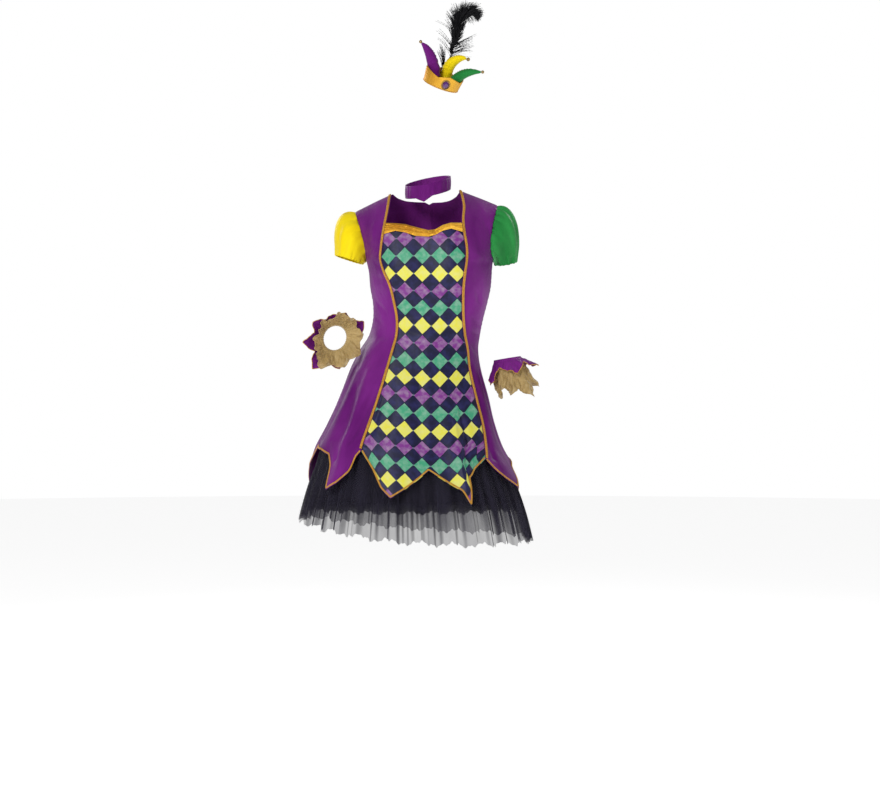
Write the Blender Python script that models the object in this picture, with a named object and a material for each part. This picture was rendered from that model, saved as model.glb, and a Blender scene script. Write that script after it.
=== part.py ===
"""A harlequin costume as it is worn, with no wearer: dress, petticoat, choker, cuffs and mini hat.

Metres, +Z up, the front faces -Y. The yellow sleeve is at -X and the green sleeve at +X. The origin is in the
middle of the neck opening, level with the shoulder seams. Every cloth piece is a wall on a named surface.
"""

import math
from collections import namedtuple

import bmesh
import bpy
from mathutils import Matrix, Vector

# Cloth and seam sizes
SATIN = 0.0012
TULLE = 0.0010
SEAM_GAP = 0.0004
LIE_GAP = 0.0004
BUST_HEIGHT = -0.185
BUST_ANGLE = 36.0
BUST_SPREAD = 22.0
BUST_FULLNESS = 0.020
BUST_FADE = 0.042
HIP_SHELF = -0.600
SHOULDER_ARC = 0.220
FLATTEN = 0.22
BODICE_RADIUS = 0.12
SKIRT_RADIUS = 0.18
NET_RADIUS = 0.15

# The dress as level sections. Angles are in degrees from the front, towards the green sleeve.
Section = namedtuple("Section", "height centre half_width front back twist yellow_seam green_seam")
DRESS_SECTIONS = [
    Section(-0.185, 0.0115, 0.153, 0.122, 0.104, -6.0, -0.100, 0.093),
    Section(-0.220, 0.0110, 0.150, 0.118, 0.102, -5.0, -0.084, 0.089),
    Section(-0.260, 0.0100, 0.142, 0.104, 0.096, -2.0, -0.074, 0.088),
    Section(-0.300, 0.0050, 0.137, 0.096, 0.092, 2.5, -0.067, 0.089),
    Section(-0.340, -0.0040, 0.138, 0.096, 0.094, 7.0, -0.068, 0.093),
    Section(-0.375, -0.0170, 0.147, 0.104, 0.104, 9.5, -0.077, 0.100),
    Section(-0.425, -0.0260, 0.163, 0.120, 0.124, 10.5, -0.091, 0.105),
    Section(-0.500, -0.0310, 0.188, 0.146, 0.155, 10.5, -0.113, 0.121),
    Section(-0.560, -0.0360, 0.207, 0.168, 0.178, 10.0, -0.133, 0.134),
    Section(-0.615, -0.0400, 0.228, 0.188, 0.199, 9.5, -0.151, 0.141),
    Section(-0.660, -0.0340, 0.246, 0.205, 0.215, 9.0, -0.160, 0.145),
    Section(-0.715, -0.0290, 0.275, 0.226, 0.238, 9.0, -0.170, 0.150),
    Section(-0.780, -0.0290, 0.294, 0.243, 0.254, 9.0, -0.180, 0.155),
]

# The neck edge of the side fronts, above the bust
NeckEdge = namedtuple("NeckEdge", "height yellow_seam green_seam")
NECK_EDGES = [
    NeckEdge(-0.185, -0.100, 0.093),
    NeckEdge(-0.155, -0.108, 0.097),
    NeckEdge(-0.125, -0.106, 0.096),
    NeckEdge(-0.090, -0.101, 0.090),
    NeckEdge(-0.060, -0.096, 0.088),
    NeckEdge(-0.025, -0.090, 0.090),
    NeckEdge(0.020, -0.085, 0.080),
]

# The top edge of the front panel, in the middle of its gold band, and the band's reach to either side
Neckline = namedtuple("Neckline", "x height up down")
NECKLINE = [
    Neckline(-0.106, -0.0830, 0.0125, 0.0130), Neckline(-0.074, -0.0790, 0.0090, 0.0090),
    Neckline(-0.048, -0.0815, 0.0100, 0.0100), Neckline(-0.020, -0.0894, 0.0107, 0.0107),
    Neckline(0.010, -0.0948, 0.0080, 0.0080), Neckline(0.026, -0.0918, 0.0065, 0.0070),
    Neckline(0.046, -0.0813, 0.0065, 0.0070), Neckline(0.066, -0.0766, 0.0070, 0.0075),
    Neckline(0.096, -0.0810, 0.0110, 0.0110),
]
# Trims of the dress
BRAID_THICKNESS = 0.0012
BRAID_OUT = SATIN / 2 + LIE_GAP + BRAID_THICKNESS / 2
SEAM_BRAID_WIDTH = 0.0075
HEM_BRAID_WIDTH = 0.0050
HEM_BRAID_MOST = 0.0160
HEM_BRAID_START = 0.0006
HEM_BRAID_INSET = 0.006
BRAID_END_GAP = 0.0012
BRAID_SHARE = 0.05
BAND_OUT = 0.0022
BAND_THICKNESS = 0.0020
BAND_COLUMNS = 16
BAND_FOLD_DEPTH = 0.0018
BAND_END = 0.35

# Sleeves: each hem ring's centre, its axis down the arm, and its radii across and along the body
SleeveHem = namedtuple("SleeveHem", "centre axis side_radius depth_radius")
YELLOW_SLEEVE_HEM = SleeveHem((-0.1925, 0.0, -0.1500), (-0.30, 0.0, -0.95), 0.037, 0.044)
GREEN_SLEEVE_HEM = SleeveHem((0.2000, 0.030, -0.1560), (0.15, 0.20, -0.95), 0.030, 0.041)
SLEEVE_GATHERS = 12
SLEEVE_ROWS = 5
SLEEVE_GATHER_DEPTH = 0.0036
SLEEVE_START = 0.0018
SLEEVE_LEAVE = 0.006
SLEEVE_LEAVE_TOP = 0.042
SLEEVE_RETURN = 0.008
SLEEVE_RETURN_TOP = 0.052
SLEEVE_OVERHANG = 0.016
SLEEVE_LIFT = 0.35
SLEEVE_FRONT_SWELL = 0.5
SLEEVE_LEAST_GATHER = 0.25

# The shoulder line: its height at the middle, its fall to either side, and how the body widens towards it
SHOULDER_PEAK = 0.058
SHOULDER_FALL = 0.45
SHOULDER_ROUND = 0.03
SHOULDER_TILT = 0.05
SHOULDER_CENTRE = 0.001
SHOULDER_HALF_WIDTH = 0.205
SHOULDER_SPREAD_POWER = 1.4
NECK_POINT_HEIGHT = 0.012

# Edges of the openings. Rise runs from the bust, 0, to the shoulder seam, 1; angle is from front or back.
Edge = namedtuple("Edge", "rise angle")
ARMHOLE = [
    Edge(0.0, 90.0), Edge(0.20, 90.0), Edge(0.235, 80.0), Edge(0.30, 73.0),
    Edge(0.45, 67.5), Edge(0.70, 63.5), Edge(1.0, 60.0),
]
BACK_NECK = [
    Edge(0.0, 0.0), Edge(0.80, 0.0), Edge(0.835, 11.0), Edge(0.88, 17.0), Edge(0.94, 21.5), Edge(1.0, 24.0),
]

# The pointed hem, as angle and height, from the yellow side seam forward to the green one, then the back
HemPoint = namedtuple("HemPoint", "angle height")
YELLOW_SIDE_HEM = [
    HemPoint(-80.5, -0.615), HemPoint(-63.0, -0.622), HemPoint(-54.0, -0.634), HemPoint(-49.5, -0.664),
    HemPoint(-46.5, -0.716), HemPoint(-40.0, -0.699), HemPoint(-35.0, -0.674), HemPoint(-32.8, -0.640),
    HemPoint(-29.7, -0.622),
]
FRONT_HEM = [
    HemPoint(-29.7, -0.622), HemPoint(-21.0, -0.672), HemPoint(-16.0, -0.711), HemPoint(-11.0, -0.733),
    HemPoint(-3.0, -0.709), HemPoint(9.3, -0.669), HemPoint(18.0, -0.698), HemPoint(24.5, -0.718),
    HemPoint(27.6, -0.753), HemPoint(30.0, -0.690), HemPoint(37.0, -0.668), HemPoint(49.1, -0.642),
]
GREEN_SIDE_HEM = [
    HemPoint(49.1, -0.642), HemPoint(52.5, -0.668), HemPoint(57.0, -0.692), HemPoint(62.5, -0.712),
    HemPoint(70.0, -0.690), HemPoint(80.0, -0.666), HemPoint(99.5, -0.645),
]
GREEN_BACK_HEM = [
    HemPoint(99.5, -0.645), HemPoint(110.0, -0.690), HemPoint(120.0, -0.742), HemPoint(131.0, -0.690),
    HemPoint(143.0, -0.655), HemPoint(155.0, -0.695), HemPoint(166.0, -0.745), HemPoint(177.0, -0.705),
    HemPoint(189.3, -0.668),
]
YELLOW_BACK_HEM = [
    HemPoint(-170.7, -0.668), HemPoint(-159.0, -0.700), HemPoint(-148.0, -0.742), HemPoint(-139.0, -0.690),
    HemPoint(-131.0, -0.655), HemPoint(-122.0, -0.690), HemPoint(-114.0, -0.735), HemPoint(-103.0, -0.670),
    HemPoint(-92.0, -0.638), HemPoint(-80.5, -0.615),
]

SEAM_ENDS = {"yellow_seam": FRONT_HEM[0].height, "green_seam": FRONT_HEM[-1].height}

# Rows of the panels: two below the hip shelf, then at these levels, which panels share along their seams
TAIL_ROWS = 2
SKIRT_LEVELS = [-0.415, -0.360, -0.300, -0.240, -0.190, -0.150, -0.110, -0.070, -0.030]
SHARED_LEVELS = [0.0, 0.0292, 0.0345, 0.045]
SHOULDER_EDGE = 0.2195
SIDE_LEVELS = SKIRT_LEVELS + SHARED_LEVELS + [0.068, 0.0905, 0.125, 0.165, 0.198, SHOULDER_EDGE]
BACK_LEVELS = SKIRT_LEVELS + SHARED_LEVELS + [0.070, 0.102, 0.130, 0.1375, 0.151, 0.172, 0.198, SHOULDER_EDGE]
COLUMN_ROOM = 0.03

# Flutes of the skirt: where each crest is, how wide, and how far it stands out at the hem
Flute = namedtuple("Flute", "angle width reach")
FLUTES = [
    Flute(-64.0, 11.0, 0.010), Flute(-41.0, 9.0, 0.013), Flute(-11.0, 11.0, 0.006), Flute(28.5, 6.5, 0.008),
    Flute(63.0, 10.0, 0.008), Flute(92.0, 9.0, 0.003), Flute(120.0, 12.0, 0.013), Flute(166.0, 12.0, 0.013),
    Flute(-148.0, 12.0, 0.013), Flute(-104.0, 12.0, 0.013),
]
FLUTE_TOP = -0.400

# The petticoat hangs inside the dress: the outer limit of its net, by height
NetSection = namedtuple("NetSection", "height centre half_width front back")
NET_SECTIONS = [
    NetSection(-0.330, -0.0013, 0.1345, 0.0930, 0.0900),
    NetSection(-0.375, -0.0170, 0.1420, 0.0990, 0.0990),
    NetSection(-0.425, -0.0260, 0.1570, 0.1140, 0.1180),
    NetSection(-0.500, -0.0310, 0.1820, 0.1400, 0.1490),
    NetSection(-0.560, -0.0360, 0.2020, 0.1630, 0.1730),
    NetSection(-0.615, -0.0390, 0.2240, 0.1840, 0.1950),
    NetSection(-0.660, -0.0360, 0.2410, 0.2000, 0.2100),
    NetSection(-0.715, -0.0340, 0.2630, 0.2160, 0.2270),
    NetSection(-0.785, -0.0320, 0.2850, 0.2330, 0.2450),
    NetSection(-0.860, -0.0300, 0.3020, 0.2470, 0.2590),
]
NET_HEM_HEIGHT = -0.846
NET_HEM_LIFT = 0.052
SHEER_TOP = -0.530
SHEER_WAVES = 36
SHEER_WAVE_DEPTH = 0.015
DENSE_TOP = -0.552
DENSE_HEM = -0.770
DENSE_WAVES = 28
DENSE_WAVE_DEPTH = 0.010
WAVE_OPENING = 0.24
YOKE_COLUMNS = 18
DENSE_ROWS = 2
SHEER_ROWS = 3
FIRST_INSET = 0.0010
GATHERED_DEPTH = 0.0006
SEAT_STEP = 0.0014
LAYER_STEP = 0.0034
STEP_OPENING = 0.05
YOKE_SEAT = 0.0009
YOKE_HEIGHTS = [-0.585, -0.552, -0.530, -0.460, -0.390, -0.335]

# The choker
CHOKER_CENTRE = (0.005, 0.006)
CHOKER_RADIUS = 0.056
CHOKER_THICKNESS = 0.0020
CHOKER_LOW = 0.0170
CHOKER_HIGH = 0.0487
CHOKER_ROLL = 0.20
CHOKER_PITCH = 0.25
CHOKER_POINT = 0.0110
CHOKER_POINT_ANGLE = -10.0
CHOKER_POINT_WIDTH = 22.0
CHOKER_COLUMNS = 36

# Wrist cuffs. A tier's points give, around the wrist, how long it is and how far it flares from the arm.
CUFF_START = 0.35
CUFF_TURN = 0.020
Cuff = namedtuple("Cuff", "centre axis back")
Tier = namedtuple("Tier", "ring_radius thickness waves wave columns rows points")
TierPoint = namedtuple("TierPoint", "angle length flare")
YELLOW_CUFF = Cuff((-0.2217, -0.100, -0.3484), (0.45, -0.85, -0.25), (0.0, 0.0, 1.0))
GREEN_CUFF = Cuff((0.2025, -0.010, -0.3960), (0.16, 0.0, -0.987), (0.0, 1.0, 0.0))
YELLOW_CUFF_SATIN = Tier(0.0330, SATIN, 9, 5.0, 36, 3, [
    TierPoint(-180, 0.030, 74), TierPoint(-145, 0.026, 76), TierPoint(-123, 0.045, 78),
    TierPoint(-103, 0.030, 78), TierPoint(-83, 0.055, 78), TierPoint(-60, 0.032, 78),
    TierPoint(-36, 0.062, 76), TierPoint(-13, 0.028, 74), TierPoint(10, 0.045, 72), TierPoint(35, 0.026, 72),
    TierPoint(60, 0.045, 74), TierPoint(90, 0.028, 76), TierPoint(122, 0.050, 76), TierPoint(145, 0.024, 76),
    TierPoint(165, 0.036, 74), TierPoint(180, 0.030, 74),
])
YELLOW_CUFF_ORGANZA = Tier(0.0305, TULLE, 8, 6.0, 36, 2, [
    TierPoint(-180, 0.042, 54), TierPoint(-170, 0.046, 54), TierPoint(-145, 0.034, 54),
    TierPoint(-120, 0.044, 54), TierPoint(-97, 0.034, 54), TierPoint(-74, 0.048, 54),
    TierPoint(-54, 0.040, 54),
    TierPoint(-34, 0.062, 54), TierPoint(-10, 0.038, 52), TierPoint(15, 0.050, 52), TierPoint(38, 0.036, 52),
    TierPoint(60, 0.048, 52), TierPoint(83, 0.034, 52), TierPoint(105, 0.044, 54), TierPoint(125, 0.032, 54),
    TierPoint(145, 0.042, 54), TierPoint(180, 0.042, 54),
])
GREEN_CUFF_SATIN = Tier(0.0331, SATIN, 9, 4.0, 36, 3, [
    TierPoint(-180, 0.027, 30), TierPoint(-140, 0.055, 26), TierPoint(-105, 0.028, 20),
    TierPoint(-70, 0.064, 20), TierPoint(-35, 0.022, 24), TierPoint(18, 0.047, 32), TierPoint(50, 0.021, 44),
    TierPoint(80, 0.052, 52), TierPoint(115, 0.026, 44), TierPoint(150, 0.050, 34), TierPoint(180, 0.027, 30),
])
GREEN_CUFF_ORGANZA = Tier(0.0315, TULLE, 8, 4.0, 36, 2, [
    TierPoint(-180, 0.085, 10), TierPoint(-140, 0.065, 8), TierPoint(-115, 0.090, 6),
    TierPoint(-88, 0.068, 4), TierPoint(-60, 0.098, 5), TierPoint(-32, 0.072, 6), TierPoint(-5, 0.094, 8),
    TierPoint(20, 0.078, 12), TierPoint(45, 0.112, 16), TierPoint(70, 0.066, 20), TierPoint(95, 0.090, 20),
    TierPoint(115, 0.068, 18), TierPoint(140, 0.100, 14), TierPoint(165, 0.070, 10),
    TierPoint(180, 0.085, 10),
])

# The mini hat, in its own axes: side, back and up from the middle of its base
HAT_CENTRE = (0.0360, -0.040, 0.2790)
HAT_UP = (0.344, -0.342, 0.874)
CROWN_RADIUS = 0.0440
CROWN_FLARE = 0.15
CROWN_THICKNESS = 0.0020
CROWN_COLUMNS = 36
CrownPoint = namedtuple("CrownPoint", "angle height")
CROWN_POINTS = [
    CrownPoint(-180, 0.040), CrownPoint(-150, 0.028), CrownPoint(-120, 0.040), CrownPoint(-95, 0.030),
    CrownPoint(-70, 0.0385), CrownPoint(-20, 0.026), CrownPoint(15, 0.036), CrownPoint(60, 0.026),
    CrownPoint(110, 0.034), CrownPoint(145, 0.026), CrownPoint(180, 0.040),
]
BASE_RADIUS = 0.0425
BASE_THICKNESS = 0.0036
BASE_SEGMENTS = 24
Knot = namedtuple("Knot", "along side back up radius")
PURPLE_HORN = [
    Knot(0.000, -0.0240, -0.004, 0.0043, 0.0160), Knot(0.011, -0.0240, -0.004, 0.0160, 0.0160),
    Knot(0.030, -0.0295, -0.004, 0.0346, 0.0150), Knot(0.063, -0.0480, -0.004, 0.0612, 0.0125),
    Knot(0.088, -0.0663, -0.004, 0.0770, 0.0080), Knot(0.102, -0.0792, -0.004, 0.0838, 0.0025),
]
YELLOW_HORN = [
    Knot(0.000, 0.0050, 0.017, 0.0043, 0.0135), Knot(0.012, 0.0050, 0.017, 0.0160, 0.0135),
    Knot(0.027, 0.0050, 0.017, 0.0317, 0.0140), Knot(0.042, 0.0044, 0.017, 0.0462, 0.0140),
    Knot(0.057, 0.0084, 0.017, 0.0606, 0.0130), Knot(0.073, 0.0184, 0.016, 0.0735, 0.0100),
    Knot(0.087, 0.0304, 0.015, 0.0808, 0.0060), Knot(0.095, 0.0383, 0.015, 0.0816, 0.0025),
]
GREEN_HORN = [
    Knot(0.000, 0.0245, -0.010, 0.0043, 0.0130), Knot(0.010, 0.0245, -0.010, 0.0140, 0.0130),
    Knot(0.027, 0.0300, -0.010, 0.0300, 0.0130), Knot(0.048, 0.0421, -0.010, 0.0472, 0.0115),
    Knot(0.069, 0.0589, -0.010, 0.0592, 0.0085), Knot(0.093, 0.0815, -0.010, 0.0678, 0.0025),
]
PURPLE_BELL_RADIUS = 0.0040
YELLOW_BELL_RADIUS = 0.0046
GREEN_BELL_RADIUS = 0.0040
FEATHER = [
    Knot(0.000, -0.0100, 0.035, 0.0042, 0.0015), Knot(0.041, -0.0060, 0.037, 0.0450, 0.0018),
    Knot(0.068, 0.0010, 0.038, 0.0709, 0.0022), Knot(0.085, -0.0025, 0.038, 0.0876, 0.0065),
    Knot(0.109, -0.0025, 0.038, 0.1118, 0.0150), Knot(0.134, -0.0059, 0.038, 0.1367, 0.0190),
    Knot(0.157, -0.0082, 0.038, 0.1594, 0.0200), Knot(0.178, -0.0026, 0.038, 0.1796, 0.0190),
    Knot(0.194, 0.0091, 0.038, 0.1904, 0.0165), Knot(0.209, 0.0240, 0.038, 0.1894, 0.0110),
    Knot(0.219, 0.0335, 0.038, 0.1851, 0.0040),
]
GEM_ANGLE = 10.0
GEM_HEIGHT = 0.0143
GEM_RADII = (0.0082, 0.0035, 0.0100)
GEM_RIM_WIRE = 0.0012
GEM_RIM_POINTS = 16
BALL_SEGMENTS = 10
BALL_RINGS = 6

COLOURS = {
    "purple satin": ((0.20, 0.03, 0.27), 0.35, 0.0),
    "harlequin print": ((0.14, 0.20, 0.33), 0.5, 0.0),
    "yellow satin": ((0.90, 0.74, 0.05), 0.35, 0.0),
    "green satin": ((0.04, 0.38, 0.11), 0.35, 0.0),
    "gold satin": ((0.78, 0.52, 0.08), 0.3, 0.2),
    "gold braid": ((0.86, 0.58, 0.12), 0.4, 0.4),
    "gold organza": ((0.62, 0.50, 0.24), 0.5, 0.1),
    "black net": ((0.012, 0.012, 0.016), 0.8, 0.0),
    "sheer net": ((0.020, 0.020, 0.026), 0.8, 0.0),
    "black feather": ((0.010, 0.010, 0.012), 0.8, 0.0),
    "gold metal": ((0.75, 0.60, 0.25), 0.25, 1.0),
    "purple gem": ((0.16, 0.02, 0.26), 0.08, 0.0),
}


# Helpers for tables and materials

def clamp(value, low, high):
    return max(low, min(high, value))


def table_value(rows, key, column, place):
    """The column's value at a place, on a smooth curve through the rows."""
    rows = sorted(rows, key=lambda row: getattr(row, key))
    keys = [getattr(row, key) for row in rows]
    values = [getattr(row, column) for row in rows]
    place = clamp(place, keys[0], keys[-1])
    last = len(rows) - 1
    i = next(n for n in range(last) if place <= keys[n + 1])
    slopes = []
    for n in (i, i + 1):
        a, b = max(n - 1, 0), min(n + 1, last)
        slopes.append((values[b] - values[a]) / (keys[b] - keys[a]))
    span = keys[i + 1] - keys[i]
    t = (place - keys[i]) / span
    return (
        values[i] * (2 * t**3 - 3 * t**2 + 1)
        + values[i + 1] * (3 * t**2 - 2 * t**3)
        + slopes[0] * span * (t**3 - 2 * t**2 + t)
        + slopes[1] * span * (t**3 - t**2)
    )


def straight_value(rows, key, column, place):
    """The column's value at a place, on straight lines between the rows."""
    keys = [getattr(row, key) for row in rows]
    values = [getattr(row, column) for row in rows]
    place = clamp(place, keys[0], keys[-1])
    i = next(n for n in range(len(rows) - 1) if place <= keys[n + 1])
    t = (place - keys[i]) / (keys[i + 1] - keys[i])
    return values[i] + (values[i + 1] - values[i]) * t


def material(name):
    made = bpy.data.materials.get(name)
    if made:
        return made
    colour, roughness, metallic = COLOURS[name]
    made = bpy.data.materials.new(name)
    made.use_nodes = True
    made.diffuse_color = (*colour, 1.0)
    shader = made.node_tree.nodes["Principled BSDF"]
    shader.inputs["Base Color"].default_value = (*colour, 1.0)
    shader.inputs["Roughness"].default_value = roughness
    shader.inputs["Metallic"].default_value = metallic
    return made


def add_object(name, mesh, finish, collection):
    mesh.materials.append(material(finish))
    made = bpy.data.objects.new(name, mesh)
    collection.objects.link(made)
    return made


# The surface of the dress

def flute_reach(angle, height):
    """How far the skirt's flutes stand out, at an angle in degrees."""
    if height > FLUTE_TOP:
        return 0.0
    depth = clamp((FLUTE_TOP - height) / (FLUTE_TOP - HIP_SHELF), 0.0, 1.3)
    total = 0.0
    for flute in FLUTES:
        away = (angle - flute.angle + 180.0) % 360.0 - 180.0
        total += flute.reach * math.exp(-((away / flute.width) ** 2))
    return total * depth**1.5


def bust_reach(angle, fade):
    """The fullness of the two cups, cut into the princess seams."""
    side = abs(angle) - BUST_ANGLE
    return BUST_FULLNESS * math.exp(-((side / BUST_SPREAD) ** 2)) * fade


def level_of(height, x):
    """The level of a height: metres from the bust line below it, along the shoulder arc above it."""
    if height <= BUST_HEIGHT:
        return height - BUST_HEIGHT
    rise = (height - BUST_HEIGHT) / (shoulder_height(x) - BUST_HEIGHT)
    return SHOULDER_ARC * math.asin(clamp(rise, 0.0, 1.0)) / (math.pi / 2)


def rise_of(level):
    return math.sin(clamp(level / SHOULDER_ARC, 0.0, 1.0) * math.pi / 2)


def shoulder_height(x):
    """The shoulder seam's height across the body, lower at the yellow sleeve."""
    return SHOULDER_PEAK - SHOULDER_FALL * math.hypot(x, SHOULDER_ROUND) + SHOULDER_TILT * x


def cut_depth(reach, turn, squareness=FLATTEN):
    return reach * math.cos(turn) * (1.0 + squareness * math.sin(turn) ** 2)


def dress_middle(level, angle):
    """A point in the middle of the dress's cloth, with no offset."""
    turn = math.radians(angle)
    facing = math.cos(turn) > 0
    if level <= 0:
        height = BUST_HEIGHT + level
        row = {c: table_value(DRESS_SECTIONS, "height", c, height) for c in
               ("centre", "half_width", "front", "back", "twist")}
        depth = cut_depth(row["front"] if facing else row["back"], turn)
        if facing:
            fade = math.exp(-((level / BUST_FADE) ** 2))
            depth += bust_reach(angle - row["twist"], fade) * math.cos(turn)
        flute = flute_reach(angle, height)
        return Vector((
            row["centre"] + (row["half_width"] + flute) * math.sin(turn),
            -depth - flute * math.cos(turn),
            height,
        ))
    first = DRESS_SECTIONS[0]
    arc = level / SHOULDER_ARC * math.pi / 2
    rise = math.sin(arc)
    spread = abs(rise) ** SHOULDER_SPREAD_POWER
    half_width = first.half_width + (SHOULDER_HALF_WIDTH - first.half_width) * spread
    centre = first.centre + (SHOULDER_CENTRE - first.centre) * rise
    x = centre + half_width * math.sin(turn)
    depth = cut_depth(first.front if facing else first.back, turn)
    if facing:
        depth += bust_reach(angle - first.twist, math.cos(arc) ** 2) * math.cos(turn)
    return Vector((x, -depth * math.cos(arc), BUST_HEIGHT + (shoulder_height(x) - BUST_HEIGHT) * rise))


def outward(surface, a, b, step_a, step_b):
    """The unit normal of a surface of two numbers, by differences."""
    along_a = surface(a + step_a, b) - surface(a - step_a, b)
    along_b = surface(a, b + step_b) - surface(a, b - step_b)
    return along_b.cross(along_a).normalized()


def dress_point(level, angle, out=0.0):
    point = dress_middle(level, angle)
    if out:
        point = point + outward(dress_middle, level, angle, 0.002, 0.5) * out
    return point


def twist_at(level):
    """How far the wearer's twist turns the seams, fading out towards the shoulders."""
    height = min(BUST_HEIGHT + level, BUST_HEIGHT)
    return table_value(DRESS_SECTIONS, "height", "twist", height) * (1.0 - rise_of(level))


def angle_at_x(level, x):
    """The front angle at which the dress has this x, at a level."""
    if level <= 0:
        height = BUST_HEIGHT + level
        centre = table_value(DRESS_SECTIONS, "height", "centre", height)
        half_width = table_value(DRESS_SECTIONS, "height", "half_width", height)
    else:
        first = DRESS_SECTIONS[0]
        rise = rise_of(level)
        half_width = first.half_width + (SHOULDER_HALF_WIDTH - first.half_width) * rise**SHOULDER_SPREAD_POWER
        centre = first.centre + (SHOULDER_CENTRE - first.centre) * rise
    return math.degrees(math.asin(clamp((x - centre) / half_width, -0.99, 0.99)))


def princess_angle(level, column):
    """The angle of a princess seam, or of the neck edge above it. Below the seam it stays as it ends."""
    level = max(level, SEAM_ENDS[column] - BUST_HEIGHT)
    if level <= 0:
        x = table_value(DRESS_SECTIONS, "height", column, BUST_HEIGHT + level)
    else:
        height = BUST_HEIGHT + (NECK_POINT_HEIGHT - BUST_HEIGHT) * rise_of(level)
        x = table_value(NECK_EDGES, "height", column, height)
    return angle_at_x(level, x)


def side_angle(level, side, back=False):
    """The side seam, and the armhole's edge above it. Side is -1 at the yellow sleeve and 1 at the green."""
    edge = straight_value(ARMHOLE, "rise", "angle", rise_of(level))
    if back:
        edge = 180.0 - edge
    return side * edge + twist_at(level)


def centre_back_angle(level, side):
    """The centre back seam, and the back neck's edge above it."""
    edge = straight_value(BACK_NECK, "rise", "angle", rise_of(level))
    return side * (180.0 - edge) + twist_at(level)


# Walls of cloth

def halves(corners, verts, ridged):
    """A four-cornered cell as two triangles, folded in along a valley, or out along a ridge."""
    a, b, e, f = corners
    outwards = (verts[e] - verts[a]).cross(verts[f] - verts[b])
    rise = (verts[a] + verts[e] - verts[b] - verts[f]).dot(outwards)
    if (rise > 0) == ridged:
        return (a, b, e), (a, e, f)
    return (a, b, f), (b, e, f)


def wall_mesh(name, point, columns, rows, thickness, closed=False, ridged=False):
    """A wall on the surface point(column, row, out): an outer and an inner grid, joined at the edges."""
    wide, tall = len(columns), len(rows)
    verts = [point(c, r, out) for out in (thickness / 2, -thickness / 2) for r in rows for c in columns]
    inner = wide * tall
    faces = []
    spans = wide if closed else wide - 1
    for r in range(tall - 1):
        for c in range(spans):
            d = (c + 1) % wide
            cell = (r * wide + c, r * wide + d, (r + 1) * wide + d, (r + 1) * wide + c)
            for triangle in halves(cell, verts, ridged):
                faces.append(triangle)
                faces.append(tuple(inner + v for v in reversed(triangle)))
    for c in range(spans):
        d = (c + 1) % wide
        top = (tall - 1) * wide
        faces.append((inner + c, inner + d, d, c))
        faces.append((top + c, top + d, inner + top + d, inner + top + c))
    if not closed:
        for r in range(tall - 1):
            a, b = r * wide, (r + 1) * wide
            faces.append((a, b, inner + b, inner + a))
            a, b = a + wide - 1, b + wide - 1
            faces.append((inner + a, inner + b, b, a))
    mesh = bpy.data.meshes.new(name)
    mesh.from_pydata(verts, [], faces)
    bm = bmesh.new()
    bm.from_mesh(mesh)
    bmesh.ops.recalc_face_normals(bm, faces=bm.faces)
    bm.to_mesh(mesh)
    bm.free()
    mesh.shade_smooth()
    mesh.set_sharp_from_angle(angle=math.radians(50))
    return mesh


def even(count):
    return [n / count for n in range(count + 1)]


def with_gap(start, end, share, radius):
    """An angle between two seams, each drawn in by half the seam gap."""
    inset = math.degrees(SEAM_GAP / 2 / radius)
    start, end = (start + inset, end - inset) if end > start else (start - inset, end + inset)
    return start + (end - start) * share


def hem_columns(hem, extra):
    """Shares across a panel: one at each hem point, and more where they leave room."""
    first, last = hem[0].angle, hem[-1].angle
    shares = [(p.angle - first) / (last - first) for p in hem]
    for share in extra:
        if min(abs(share - s) for s in shares) > COLUMN_ROOM:
            shares.append(share)
    return sorted(shares)


def hem_height(hem, share):
    angle = hem[0].angle + (hem[-1].angle - hem[0].angle) * share
    return straight_value(hem, "angle", "height", angle)


class Panel:
    """A cut piece of the dress: two edges given by level, a pointed hem, and the levels of its rows."""

    def __init__(self, hem, start, end, levels):
        self.hem, self.start, self.end, self.levels = hem, start, end, levels
        self.row_count = TAIL_ROWS + len(levels(0.0))

    def level(self, share, row):
        if row < TAIL_ROWS:
            low = hem_height(self.hem, share) - BUST_HEIGHT
            return low + (HIP_SHELF - BUST_HEIGHT - low) * row / TAIL_ROWS
        return self.levels(share)[row - TAIL_ROWS]

    def angle(self, share, level):
        radius = BODICE_RADIUS if level > HIP_SHELF / 3 else SKIRT_RADIUS
        return with_gap(self.start(level), self.end(level), share, radius)

    def point(self, share, row, out=0.0):
        level = self.level(share, row)
        return dress_point(level, self.angle(share, level), out)

    def rows(self):
        return range(self.row_count)


def front_top_level(share):
    """The front panel's top edge, which the gold band covers."""
    first, last = NECK_EDGES[2].yellow_seam, NECK_EDGES[2].green_seam
    x = first + (last - first) * share
    return level_of(straight_value(NECKLINE, "x", "height", x), x)


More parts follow.
